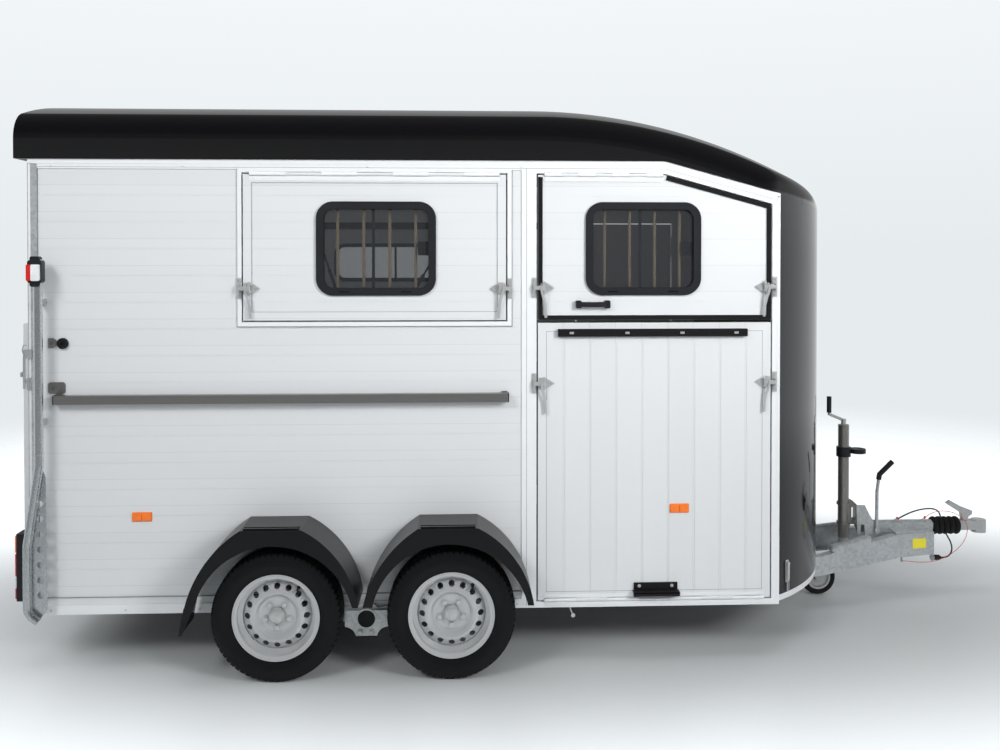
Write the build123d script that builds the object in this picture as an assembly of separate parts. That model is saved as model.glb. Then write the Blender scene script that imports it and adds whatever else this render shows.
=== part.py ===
from build123d import *
import math
import os

# Two-horse trailer on a tandem axle, in millimetres, +Z up, +X towards the coupling, -Y its right side.
# It is drawn from the ground point midway between the axles, and moved by ORIGIN_X when written.

# Running clearance of seats, and gap round moving panels
SEAT = 0.3
PANEL_GAP = 7

# Wheels and axles
AXLE_SPACING = 785
TYRE_RADIUS = 292
TYRE_WIDTH = 182
TYRE_FACE_Y = 1100
BEAD_RADIUS = 180
RIM_FLANGE_RADIUS = 195
RIM_WALL = 4
RIM_WELL_RADIUS = 160
BOLT_CIRCLE = 112
BOLT_COUNT = 5
VENT_COUNT = 16
VENT_RADIUS = 13.5
VENT_CIRCLE_RADIUS = 133
DISC_SEAT = 61
HUB_CAP_RADIUS = 34
DRUM_RADIUS = 118

# Body shell
BODY_REAR_X = -1556
BODY_FRONT_X = 1954
WALL_Y = 875
WALL_THICKNESS = 30
FRAME_PROUD = 5
WALL_BOTTOM_Z = 250
WALL_TOP_Z = 2359
SLOPE_START_X = 1401
SLOPE_DEGREES = 15.2
RAIL_WIDTH = 44
POST_WIDTH = 46
CENTRE_POST_X = 745
PLANK_PITCH = 124
PLANK_GROOVE = 3
PLANK_GROOVE_DEPTH = 1.5
FLOOR_TOP_Z = 312
FLOOR_THICKNESS = 30

# Roof and nose
ROOF_REAR_X = -1616
ROOF_HALF_WIDTH = 886
ROOF_CROWN_Z = 2690
ROOF_EDGE_Z = 2550
ROOF_BEND_X = 800
ROOF_BEND_RADIUS = 2818
ROOF_SHOULDER = 130
SHELL = 7
ROOF_LEDGE = 38
CAP_RADIUS = 1470
CAP_FRONT_X = 2300
NOSE_FRONT_X = 2385
NOSE_RADIUS = 1050
NOSE_CORNER = 200
NOSE_BOTTOM_Z = 280

# Chassis and drawbar
BEAM_WALL = 5
BEAM_WIDTH = 50
BEAM_DEPTH = 105
BEAM_TOP_Z = 280
DRAW_TOP_Z = 365
BEAM_Y = 640
PIVOT_X = -3
PIVOT_Z = 228
PIVOT_RADIUS = 45
PIVOT_PLATE_WIDTH = 200
DRAW_AXIS_Z = 379
BEAM_FRONT_X = 3095
HEAD_TIP_X = 3435
BALL_RADIUS = 25.3

# Jockey wheel
JOCKEY_X = 2610
JOCKEY_WHEEL_RADIUS = 98
JOCKEY_WHEEL_WIDTH = 50
JOCKEY_TRAIL = 150
JOCKEY_TUBE_RADIUS = 30
JOCKEY_TUBE_TOP = 958
JOCKEY_TUBE_BOTTOM = 320
FORK_TOP_Z = 268

# Drawbar fittings
HOUSING_REAR_X = 2790
HOUSING_FRONT_X = 3116
BELLOWS_FRONT_X = 3276
HOUSING_RADIUS = 34
SHAFT_RADIUS = 20
SECTOR_Y = -70
LEVER_X = 2769
LEVER_Z = 380
BRACKET_HALF = 20

# Fenders: outer plane and sheet, then the side view's marks, X from the axle and Z
FENDER_Y = 1130
FENDER_SHEET = 4
FENDER_LOW_Z = 348
FENDER_TOP_Z = 697
FENDER_ARCH_Z = 626
FENDER_ENDS = (-395, 370)
FENDER_FLAT = (-150, 120)
FENDER_BULGES = (42, 52)
ARCH_ENDS = (-352, 343)
ARCH_TOP = -10

# Stalls: the board between the horses, its posts, and the breast and rump bars
BOARD_THICKNESS = 24
BOARD_LOW_Z = 560
BOARD_TOP_Z = 1480
BOARD_CORNER = 90
POST_RADIUS = 25
STALL_FRONT_X = 690
STALL_REAR_X = -1400
BREAST_BAR_Z = 1180
RUMP_BAR_Z = 960
BAR_RADIUS = 20
CURTAIN_RADIUS = 46

# Panel faces: depth of the planks behind the border, cleats inside the ramps
FIELD_DEPTH = 3
HATCH_BORDER = 40
SEAL_BORDER = 22
CLEAT_PITCH = 125
CLEAT_HEIGHT = 10

# Electric lead with its plug, and the breakaway cable: diameter and the points of each route
LEAD_DIAMETER = 8
LEAD_ROUTE = [(2915, -20, 421), (2950, -20, 441), (3000, -17, 461), (3055, -10, 473), (3108, 2, 475),
              (3158, 24, 464), (3195, 52, 436), (3212, 72, 392), (3222, 70, 348), (3234, 50, 311),
              (3243, 20, 281), (3240, -8, 250), (3221, -30, 222), (3187, -44, 206), (3152, -50, 209)]
PLUG_LENGTH = 53
PLUG_RADIUS = 15
CABLE_DIAMETER = 3
CABLE_ROUTE = [(2911, -100, 209), (2950, -98, 203), (3000, -92, 197), (3055, -86, 194), (3108, -80, 198),
               (3157, -74, 212), (3200, -68, 231), (3240, -62, 256), (3274, -58, 288), (3297, -55, 326),
               (3306, -54, 370), (3295, -54, 410), (3265, -52, 442), (3222, -50, 464), (3172, -46, 473),
               (3124, -38, 466), (3088, -28, 446), (3068, -20, 420)]

# Moving panels of the right side: first and last X, lower and upper Z
HATCH = dict(x0=-575, x1=648, z0=1611, z1=2293)
DOOR = dict(x0=799, x1=1909, z0=1611, z1=2293)
RAMP = dict(x0=799, x1=1909, z0=285, z1=1597)
GROOM = dict(x0=1190, x1=1800, z0=420, z1=2120)
PANEL_THICKNESS = 34
HINGE_RADIUS = 8
REAR_RAMP = dict(half_width=832, z0=300, z1=1597, thickness=40)

# Windows: first and last X, lower and upper Z of the black frame
HATCH_WINDOW = dict(x0=-238, x1=320, z0=1727, z1=2166)
DOOR_WINDOW = dict(x0=1024, x1=1572, z0=1727, z1=2166)
FAR_WINDOW = dict(x0=-374, x1=455, z0=1741, z1=2009)
WINDOW_CORNER = 80
WINDOW_FRAME = 35
GLASS = 4

ORIGIN_X = (HEAD_TIP_X + ROOF_REAR_X) / 2
WHEEL_X = {"front": AXLE_SPACING / 2, "rear": -AXLE_SPACING / 2}
SIDES = {"right": -1, "left": 1}


def slab(x0, x1, y0, y1, z0, z1):
    """A block between two corners."""
    return Pos((x0 + x1) / 2, (y0 + y1) / 2, (z0 + z1) / 2) * Box(x1 - x0, y1 - y0, z1 - z0)


def outline(points):
    """A flat face with straight edges."""
    return make_face(Polyline(*points, close=True))


def side_view(face, y0, y1):
    """A face drawn in X and Z, as thick as from y0 to y1."""
    plane = Plane(origin=(0, y1, 0), x_dir=(1, 0, 0), z_dir=(0, -1, 0))
    return extrude(plane * face, y1 - y0)


def end_view(face, x0, x1):
    """A face drawn in Y and Z, as long as from x0 to x1."""
    return extrude(Plane(origin=(x0, 0, 0), x_dir=(0, 1, 0), z_dir=(1, 0, 0)) * face, x1 - x0)


def tube_between(a, b, radius):
    """A round bar from point a to point b."""
    start = Vector(*a)
    way = Vector(*b) - start
    return extrude(Plane(origin=start, z_dir=way) * Circle(radius), way.length)


def rounded(x0, x1, z0, z1, radius):
    """A rounded rectangle drawn in X and Z."""
    return Pos((x0 + x1) / 2, (z0 + z1) / 2) * RectangleRounded(x1 - x0, z1 - z0, radius)


def bulged(a, b, bulge):
    """An arc in a flat drawing from a to b that stands out to the left of the way by bulge."""
    length = math.hypot(b[0] - a[0], b[1] - a[1])
    across = ((a[1] - b[1]) / length, (b[0] - a[0]) / length)
    middle = tuple((a[i] + b[i]) / 2 + across[i] * bulge for i in (0, 1))
    return ThreePointArc(a, middle, b)


def quarter(foot, top):
    """An arc in a flat drawing that rises from foot and ends level at top."""
    dx, dz = top[0] - foot[0], top[1] - foot[1]
    radius = (dx * dx + dz * dz) / (2 * dz)
    turn = math.asin(dx / radius) / 2
    middle = (top[0] - radius * math.sin(turn), top[1] - radius * (1 - math.cos(turn)))
    return ThreePointArc(foot, middle, top)


def left_of(shape):
    """The same shape on the other side of the trailer."""
    return mirror(shape, about=Plane.XZ)


def wall_top(x, drop=0):
    """Height of the wall's upper edge at x, lowered by drop."""
    slope = math.tan(math.radians(SLOPE_DEGREES))
    return WALL_TOP_Z - drop - max(0, x - SLOPE_START_X) * slope


# Wheels, drawn round the Y axis with y counted inwards from the tyre's outer face


def tyre():
    """A hollow tyre: tread, shoulders, bulged sidewalls and beads."""
    middle = TYRE_WIDTH / 2
    flank = (TYRE_RADIUS + BEAD_RADIUS) / 2
    lip = RIM_FLANGE_RADIUS + 1
    # radius and place across the tyre, from the outer bead to the middle of the tread
    outer = [(BEAD_RADIUS, 23), (lip, 20), (flank, 0), (TYRE_RADIUS - 15, 11), (TYRE_RADIUS - 5, 18),
             (TYRE_RADIUS - 2, 34)]
    inner = [(BEAD_RADIUS, 36), (flank, 10), (TYRE_RADIUS - 24, 27), (TYRE_RADIUS - 12, 42)]
    far_outer = [(r, TYRE_WIDTH - y) for r, y in outer]
    far_inner = [(r, TYRE_WIDTH - y) for r, y in inner]
    face = make_face([
        Line(outer[0], outer[1]),
        ThreePointArc(outer[1], outer[2], outer[3]),
        ThreePointArc(outer[3], outer[4], outer[5]),
        Polyline(outer[5], (TYRE_RADIUS, middle), far_outer[5]),
        ThreePointArc(far_outer[5], far_outer[4], far_outer[3]),
        ThreePointArc(far_outer[3], far_outer[2], far_outer[1]),
        Polyline(far_outer[1], far_outer[0], far_inner[0]),
        ThreePointArc(far_inner[0], far_inner[1], far_inner[2]),
        Polyline(far_inner[2], far_inner[3], inner[3], inner[2]),
        ThreePointArc(inner[2], inner[1], inner[0]),
        Line(inner[0], outer[0]),
    ])
    return revolve(face, Axis.Y)


def rim():
    """A steel wheel: barrel with drop well, pressed disc with vents, bolts and hub cap."""
    flange = RIM_FLANGE_RADIUS
    bead = BEAD_RADIUS - SEAT
    well = RIM_WELL_RADIUS
    # radius and place across the rim of the barrel's outer line
    barrel = [(flange, 14), (flange, 19), (bead, 22), (bead, 50), (well, 62), (well, 122), (bead, 132),
              (bead, TYRE_WIDTH - 22), (flange, TYRE_WIDTH - 19), (flange, TYRE_WIDTH - 14)]
    inner = [(r - RIM_WALL, y) for r, y in barrel]
    ring = revolve(outline(barrel + inner[::-1]), Axis.Y)
    # radius and place across the rim of the disc's outer line, from its rim to its bore
    disc = [(well - 2, 74), (146, 62), (122, 46), (108, 42), (96, 47), (84, 58), (74, DISC_SEAT),
            (HUB_CAP_RADIUS + 2, DISC_SEAT)]
    back = [(r, y + RIM_WALL) for r, y in disc]
    plate = revolve(outline(disc + back[::-1]), Axis.Y)
    for i in range(VENT_COUNT):
        around = Rot(0, 360 / VENT_COUNT * i, 0)
        plate -= around * Pos(VENT_CIRCLE_RADIUS, 55, 0) * Rot(90, 0, 0) * Cylinder(VENT_RADIUS, 60)
    wheel = ring + plate
    for i in range(BOLT_COUNT):
        around = Rot(0, 360 / BOLT_COUNT * i + 90, 0)
        head = Pos(BOLT_CIRCLE / 2, DISC_SEAT - 6, 0) * Rot(90, 0, 0) * Cylinder(9.5, 14)
        wheel += around * head
    return wheel


def hub():
    """Brake drum with its flange and the domed grease cap that stands out of the rim."""
    seat = DISC_SEAT + RIM_WALL + SEAT
    cap = HUB_CAP_RADIUS
    drum = DRUM_RADIUS
    # radius and place across the wheel
    points = [(0, 28), (16, 29.5), (27, 33), (33, 39), (cap, 44), (cap, seat), (80, seat), (drum, seat + 6),
              (drum, 132), (drum - 6, 132), (drum - 6, seat + 10), (28, seat + 10), (28, 125), (0, 125)]
    return revolve(outline(points), Axis.Y)


def on_axle(shape, side, end):
    """Puts a wheel's piece on its axle."""
    turned = shape if side == "right" else Rot(0, 0, 180) * shape
    return Pos(WHEEL_X[end], SIDES[side] * TYRE_FACE_Y, TYRE_RADIUS) * turned


def swing_arms(side):
    """Both trailing arms of a side, one behind the other on the pivot."""
    y0 = -TYRE_FACE_Y + TYRE_WIDTH + 9
    arms = []
    for x in WHEEL_X.values():
        reach = math.hypot(TYRE_RADIUS - PIVOT_Z, x - PIVOT_X)
        lean = math.degrees(math.atan2(TYRE_RADIUS - PIVOT_Z, x - PIVOT_X))
        inner = PIVOT_RADIUS + 16
        start = Pos(PIVOT_X, PIVOT_Z) * Rot(0, 0, lean)
        bar = start * Pos((reach + inner) / 2, 0) * SlotCenterToCenter(reach - inner, 70)
        arm = side_view(bar, y0, y0 + 16)
        arm += tube_between((x, y0 + 1, TYRE_RADIUS), (x, 125 + SEAT - TYRE_FACE_Y, TYRE_RADIUS), 24)
        arm += tube_between((x, 139 - TYRE_FACE_Y, TYRE_RADIUS), (x, 135 - TYRE_FACE_Y, TYRE_RADIUS), 116)
        arms.append(arm)
    eye = tube_between((PIVOT_X, y0, PIVOT_Z), (PIVOT_X, y0 + 16, PIVOT_Z), PIVOT_RADIUS + 22)
    bore = tube_between((PIVOT_X, y0 - 5, PIVOT_Z), (PIVOT_X, y0 + 30, PIVOT_Z), PIVOT_RADIUS + SEAT)
    both = arms[0] + eye + arms[1] - bore
    return both if side == "right" else left_of(both)


# Chassis


def beam_right():
    """A channel that runs under the floor and draws in and up to the overrun housing."""
    # X, Y of the outer face, Z of the upper and of the lower flange
    low = BEAM_TOP_Z - BEAM_DEPTH
    path = [(BEAM_FRONT_X, -88, DRAW_TOP_Z, 240), (2880, -130, DRAW_TOP_Z, 235), (2390, -244, BEAM_TOP_Z, low),
            (700, -BEAM_Y, BEAM_TOP_Z, low), (BODY_REAR_X + 20, -BEAM_Y, BEAM_TOP_Z, low)]

    def strip(near, far):
        edge = [(x, y + near) for x, y, _, _ in path]
        return outline(edge + [(x, y + far) for x, y, _, _ in path][::-1])

    def band(inset):
        upper = [(x, z - inset) for x, _, z, _ in path]
        return outline(upper + [(x, z + inset) for x, _, _, z in path][::-1])

    full = Pos(0, 0, 100) * extrude(strip(0, BEAM_WIDTH), 400) & side_view(band(0), -900, 0)
    hollow = Pos(0, 0, 100) * extrude(strip(BEAM_WALL, BEAM_WIDTH + 5), 400)
    hollow = hollow & side_view(band(BEAM_WALL), -900, 100)
    hole = tube_between((PIVOT_X, -1000, PIVOT_Z), (PIVOT_X, 0, PIVOT_Z), PIVOT_RADIUS + SEAT)
    return full - hollow - hole + beam_cover(path[1], path[2])


def beam_cover(front, rear):
    """The pressed cover on a beam, lying along its rise from the rear mark to the front one."""
    share = 0.4
    x, y, z = [rear[i] + share * (front[i] - rear[i]) for i in range(3)]
    yaw = math.degrees(math.atan2(front[1] - rear[1], front[0] - rear[0]))
    rise = math.degrees(math.atan2(front[2] - rear[2], front[0] - rear[0]))
    cover = extrude(SlotOverall(262, BEAM_WIDTH - 2), 40)
    cover = fillet(cover.edges().group_by(Axis.Z)[-1], 16)
    return Pos(x, y + BEAM_WIDTH / 2, z) * Rot(0, 0, yaw) * Rot(0, -rise, 0) * Pos(0, 0, -4) * cover


def cable_lug():
    """The pin under the right beam that the breakaway cable leaves."""
    x, y, z = CABLE_ROUTE[0]
    x -= 6 + 2 * SEAT
    return tube_between((x, y, z - 6), (x, y, z + 29), 6)


def crossmembers():
    """Channels across the chassis, between the two beams, and the box at the rear."""
    members = None
    half = BEAM_Y - BEAM_WALL - SEAT
    top = BEAM_TOP_Z - BEAM_WALL - SEAT
    low = BEAM_TOP_Z - BEAM_DEPTH + BEAM_WALL + SEAT
    for x in (-1480, -1040, -600, -180, 180, 600):
        piece = slab(x - 20, x + 20, -half, half, low, top)
        piece -= slab(x - 16, x + 30, -half - 1, half + 1, low + 4, top - 4)
        members = piece if members is None else members + piece
    return members + plug_holder()


def pivot_tube():
    """The suspension's tube across the chassis, with a bolted plate at each end."""
    reach = TYRE_FACE_Y - TYRE_WIDTH + 4
    tube = tube_between((PIVOT_X, -reach, PIVOT_Z), (PIVOT_X, reach, PIVOT_Z), PIVOT_RADIUS)
    tube -= tube_between((PIVOT_X, -reach - 1, PIVOT_Z), (PIVOT_X, reach + 1, PIVOT_Z), PIVOT_RADIUS - 6)
    half = PIVOT_PLATE_WIDTH / 2
    top = PIVOT_Z + 38
    # the sides are drawn in by the arcs that keep clear of the brake drums
    plate = Pos(PIVOT_X, 0) * make_face([
        Polyline((-half, top - 76), (-half, top), (half, top), (half, top - 76)),
        bulged((half, top - 76), (half - 50, top - 118), -12),
        Line((half - 50, top - 118), (50 - half, top - 118)),
        bulged((50 - half, top - 118), (-half, top - 76), -12),
    ])
    end = side_view(plate, -reach - 6, -reach)
    for x in (-29, 25):
        end += tube_between((x, -reach - 14, 165), (x, -reach, 165), 9)
    return tube + end + left_of(end)


def floor():
    """The floor, rounded at the front to fit in the nose."""
    half = WALL_Y - WALL_THICKNESS - SEAT
    low = FLOOR_TOP_Z - FLOOR_THICKNESS
    plate = slab(BODY_REAR_X + 2, BODY_FRONT_X, -half, half, low, FLOOR_TOP_Z)
    front = Pos(0, 0, low) * extrude(plan(SHELL + SEAT), FLOOR_THICKNESS)
    front = front & slab(BODY_FRONT_X - 1, NOSE_FRONT_X, -half, half, 0, 500)
    return plate + front


# Body shell


def plan(inset):
    """The trailer's plan: straight sides and a bowed nose with rounded corners."""
    half = ROOF_HALF_WIDTH - inset
    bow = NOSE_RADIUS - inset
    centre = NOSE_FRONT_X - NOSE_RADIUS
    corner_x = centre + math.sqrt(bow ** 2 - half ** 2)
    rear = ROOF_REAR_X + inset
    face = make_face([
        Line((rear, -half), (corner_x, -half)),
        ThreePointArc((corner_x, -half), (centre + bow, 0), (corner_x, half)),
        Line((corner_x, half), (rear, half)),
        Line((rear, half), (rear, -half)),
    ])
    corners = face.vertices().sort_by(Axis.X)[-2:]
    return fillet(corners, NOSE_CORNER - inset)


def envelope(inset):
    """The closed outer form of roof and nose, smaller all round by inset."""
    rise = ROOF_CROWN_Z - ROOF_EDGE_Z
    crown_radius = (ROOF_HALF_WIDTH ** 2 + rise ** 2) / (2 * rise) - inset
    crown = ROOF_CROWN_Z - inset
    reach = ROOF_HALF_WIDTH + 60
    edge = crown - crown_radius + math.sqrt(crown_radius ** 2 - reach ** 2)
    base = 1500
    section = make_face([
        ThreePointArc((-reach, edge), (0, crown), (reach, edge)),
        Line((reach, edge), (reach, base)),
        Line((reach, base), (-reach, base)),
        Line((-reach, base), (-reach, edge)),
    ])
    rear = end_view(section, ROOF_REAR_X - 50, ROOF_BEND_X)
    at_bend = Plane(origin=(ROOF_BEND_X, 0, 0), x_dir=(0, 1, 0), z_dir=(1, 0, 0)) * section
    hinge = Axis((ROOF_BEND_X, 0, ROOF_CROWN_Z - ROOF_BEND_RADIUS), (0, 1, 0))
    front = revolve(at_bend, hinge, 45)
    low = slab(ROOF_REAR_X - 50, NOSE_FRONT_X + 50, -reach, reach, 0, 1700)
    block = Pos(0, 0, NOSE_BOTTOM_Z - inset) * extrude(plan(inset), 2600)
    block = block & (rear + front + low)
    ridge = [e for e in block.edges() if is_roof_edge(e)]
    return fillet(ridge, ROOF_SHOULDER - inset)


def is_roof_edge(edge):
    """True for the edges where the crown meets the sides and the nose."""
    box = edge.bounding_box()
    upright = box.size.Z > 1000
    across = box.size.X < 1
    return box.min.Z > 1800 and not upright and not across


def cap_zone(grow):
    """The space of the roof: above the wall's edge and behind the arc where the nose begins."""
    far = NOSE_FRONT_X + 100
    side = outline([(ROOF_REAR_X - 60, WALL_TOP_Z + 1 - grow), (SLOPE_START_X, WALL_TOP_Z + 1 - grow),
                    (far, wall_top(far) + 1 - grow), (far, 3000), (ROOF_REAR_X - 60, 3000)])
    above = side_view(side, -1000, 1000)
    arc = Pos(CAP_FRONT_X - CAP_RADIUS, 0, 2000) * Cylinder(CAP_RADIUS + grow, 2400)
    behind = slab(ROOF_REAR_X - 60, 0, -1000, 1000, 1000, 3000)
    return above & (arc + behind)


def roof(skin):
    """The moulded roof cap with the ledge that sits on the walls."""
    shell = skin & cap_zone(0)
    ledge = envelope_block() & cap_zone(0)
    ledge -= Pos(0, 0, 30) * cap_zone(5)
    return shell + ledge


def envelope_block():
    """A ring along the sides as wide as the roof's ledge."""
    ring = extrude(plan(SHELL / 2), 3000) - extrude(plan(ROOF_LEDGE), 3000)
    ring -= slab(BODY_FRONT_X - 30, 3000, -1000, 1000, 0, 3100)
    return ring


def nose(skin):
    """The moulded nose, open to the load space and under the roof's front edge."""
    front = slab(BODY_FRONT_X + SEAT, NOSE_FRONT_X + 50, -1000, 1000, 0, 3000)
    return skin & front - cap_zone(SEAT)


def wall_face(inset):
    """Outline of a side wall in X and Z, smaller by inset."""
    x0 = BODY_REAR_X + inset
    x1 = BODY_FRONT_X - inset
    return outline([(x0, WALL_BOTTOM_Z + inset), (x1, WALL_BOTTOM_Z + inset), (x1, wall_top(x1, inset)),
                    (SLOPE_START_X, WALL_TOP_Z - inset), (x0, WALL_TOP_Z - inset)])


def opening(panel, grow, y0, y1, sloped=False):
    """The space of a moving panel with a gap round it, cut by the roof's slope if it is the front one."""
    x0, x1 = panel["x0"] - grow, panel["x1"] + grow
    z0, z1 = panel["z0"] - grow, panel["z1"] + grow
    if not sloped:
        return slab(x0, x1, y0, y1, z0, z1)
    drop = WALL_TOP_Z - panel["z1"] - grow
    face = outline([(x0, z0), (x1, z0), (x1, wall_top(x1, drop)), (SLOPE_START_X, z1), (x0, z1)])
    return side_view(face, y0, y1)


def plank_grooves(x0, x1, y):
    """Fine seams between the planks of a side, to be cut out of the outer face at y."""
    seams = None
    z = WALL_TOP_Z - RAIL_WIDTH - PLANK_PITCH
    while z > WALL_BOTTOM_Z + RAIL_WIDTH + 20:
        seam = slab(x0, x1, y - PLANK_GROOVE_DEPTH, y + PLANK_GROOVE_DEPTH, z, z + PLANK_GROOVE)
        seams = seam if seams is None else seams + seam
        z -= PLANK_PITCH
    return seams


def frame(side):
    """The profiles round a side: rails, posts and the surrounds of its openings."""
    outer, inner = -WALL_Y - FRAME_PROUD, -WALL_Y + WALL_THICKNESS
    ring = side_view(wall_face(0), outer, inner) - side_view(wall_face(RAIL_WIDTH), outer - 1, inner + 1)
    if side == "right":
        post = slab(CENTRE_POST_X - POST_WIDTH / 2, CENTRE_POST_X + POST_WIDTH / 2, outer, inner,
                    WALL_BOTTOM_Z + 10, WALL_TOP_Z - 10)
        ring += post
        surround = opening(HATCH, PANEL_GAP + 20, outer, inner) - opening(HATCH, PANEL_GAP, outer - 1, inner + 1)
        ring += surround & slab(-2000, CENTRE_POST_X, outer, inner, 0, WALL_TOP_Z - 10)
        ring += side_view(wall_face(5), outer, inner) & slab(CENTRE_POST_X, BODY_FRONT_X - 10, outer, inner, 0, 2400)
        for panel, sloped in ((DOOR, True), (RAMP, False)):
            ring -= opening(panel, PANEL_GAP, outer - 1, inner + 1, sloped)
        for panel, way in ((HATCH, 1), (DOOR, 1), (RAMP, -1)):
            ring = ring - knuckle_room(panel, way) + fixed_knuckles(panel, way)
        return ring - pivot_notch()
    surround = opening(GROOM, PANEL_GAP + 24, outer, inner) - opening(GROOM, PANEL_GAP, outer - 1, inner + 1)
    ring += surround
    for z in groom_hinges():
        ring -= tube_between((GROOM["x1"], hinge_y(), z - 42), (GROOM["x1"], hinge_y(), z + 42), HINGE_RADIUS + 2)
        ring += tube_between((GROOM["x1"], hinge_y(), z - 83), (GROOM["x1"], hinge_y(), z - 40 - SEAT), HINGE_RADIUS)
    return left_of(ring - pivot_notch())


def pivot_notch():
    """The round notch in a side's lower rail over the suspension's tube."""
    return tube_between((PIVOT_X, -1000, PIVOT_Z), (PIVOT_X, 0, PIVOT_Z), PIVOT_RADIUS + SEAT)


def groom_hinges():
    """Heights of the entrance door's two hinges."""
    return GROOM["z0"] + 120, GROOM["z1"] - 120


def wall(side):
    """The planked side panel inside its profiles, with its windows and doors cut."""
    outer, inner = -WALL_Y, -WALL_Y + WALL_THICKNESS
    inset = RAIL_WIDTH + SEAT
    panel = side_view(wall_face(inset), outer, inner)
    panel -= plank_grooves(BODY_REAR_X, BODY_FRONT_X, outer)
    if side == "right":
        panel -= slab(CENTRE_POST_X - POST_WIDTH / 2 - SEAT, 2500, outer - 1, inner + 1, 0, 3000)
        panel -= opening(HATCH, PANEL_GAP + 20 + SEAT, outer - 1, inner + 1)
        return panel
    panel -= opening(GROOM, PANEL_GAP + 24 + SEAT, outer - 1, inner + 1)
    hole = rounded(FAR_WINDOW["x0"] + 12, FAR_WINDOW["x1"] - 12, FAR_WINDOW["z0"] + 12,
                   FAR_WINDOW["z1"] - 12, WINDOW_CORNER - 12)
    panel -= side_view(hole, outer - 1, inner + 1)
    return left_of(panel)


# Hinges along X at the outer face of a side: way is 1 over the panel and -1 under it


def hinge_spans(panel):
    """Lengths of the knuckles along a panel: fixed ones and moving ones in turn."""
    x0, x1 = panel["x0"] + 30, hinge_end(panel)
    count = 7
    pitch = (x1 - x0) / count
    spans = [(x0 + i * pitch + SEAT, x0 + (i + 1) * pitch - SEAT) for i in range(count)]
    return spans[0::2], spans[1::2]


def hinge_end(panel):
    """The hinge of the front door stops where the roof's slope begins."""
    sloped = panel is DOOR
    return min(panel["x1"] - 30, SLOPE_START_X - 10) if sloped else panel["x1"] - 30


def hinge_z(panel, way):
    """Height of a hinge's axis."""
    return panel["z1"] if way > 0 else panel["z0"]


def hinge_y():
    """Place of the side hinges' axis, at the outer face of the profiles."""
    return -WALL_Y - FRAME_PROUD


def fixed_knuckles(panel, way):
    """Knuckles on the profiles, with the leaf that carries them."""
    y, z = hinge_y(), hinge_z(panel, way)
    knuckles = None
    for x0, x1 in hinge_spans(panel)[0]:
        near, far = sorted((z + way * 2, z + way * (PANEL_GAP + 6)))
        piece = tube_between((x0, y, z), (x1, y, z), HINGE_RADIUS)
        piece += slab(x0, x1, y, y + 8, near, far)
        knuckles = piece if knuckles is None else knuckles + piece
    return knuckles


def knuckle_room(panel, way):
    """Room in the profiles for the moving knuckles."""
    y, z = hinge_y(), hinge_z(panel, way)
    room = None
    for x0, x1 in hinge_spans(panel)[1]:
        piece = tube_between((x0 - 1, y, z), (x1 + 1, y, z), HINGE_RADIUS + 2)
        room = piece if room is None else room + piece
    return room


def hung_panel(panel, way, sloped=False):
    """A flap or ramp with its moving knuckles, cut clear of the fixed ones."""
    y, z = hinge_y(), hinge_z(panel, way)
    body = opening(panel, 0, y, y + PANEL_THICKNESS, sloped)
    for x0, x1 in hinge_spans(panel)[0]:
        body -= tube_between((x0 - 1, y, z), (x1 + 1, y, z), HINGE_RADIUS + 2.5)
    for x0, x1 in hinge_spans(panel)[1]:
        body += tube_between((x0, y, z), (x1, y, z), HINGE_RADIUS)
    return body


def panel_face(body, panel, border, sloped=False):
    """Sinks a panel's planks behind its border and cuts the level seams between them."""
    y = hinge_y()
    field = opening(panel, -border, y - 1, y + FIELD_DEPTH, sloped)
    room = opening(panel, -border, y - 1, y + FIELD_DEPTH + PLANK_GROOVE_DEPTH, sloped)
    z = WALL_TOP_Z - RAIL_WIDTH - PLANK_PITCH
    seams = field
    while z > panel["z0"] + border:
        if z < panel["z1"] - border:
            seams += slab(panel["x0"], panel["x1"], y - 1, y + 10, z, z + PLANK_GROOVE) & room
        z -= PLANK_PITCH
    return body - seams


def upright_seams(body, panel, y, way):
    """Cuts upright seams between a panel's planks in its outer face at y; way is the face's outward side."""
    near, far = sorted((y + way, y - way * PLANK_GROOVE_DEPTH))
    x = panel["x0"] + PLANK_PITCH
    while x < panel["x1"] - PLANK_PITCH / 2:
        body -= slab(x, x + PLANK_GROOVE, near, far, panel["z0"] + 30, panel["z1"] - 8)
        x += PLANK_PITCH
    return body


def window_hole(body, window, y0, y1):
    """Cuts a window's hole through a panel."""
    hole = rounded(window["x0"] + 12, window["x1"] - 12, window["z0"] + 12, window["z1"] - 12, WINDOW_CORNER - 12)
    return body - side_view(hole, y0 - 1, y1 + 1)


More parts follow.
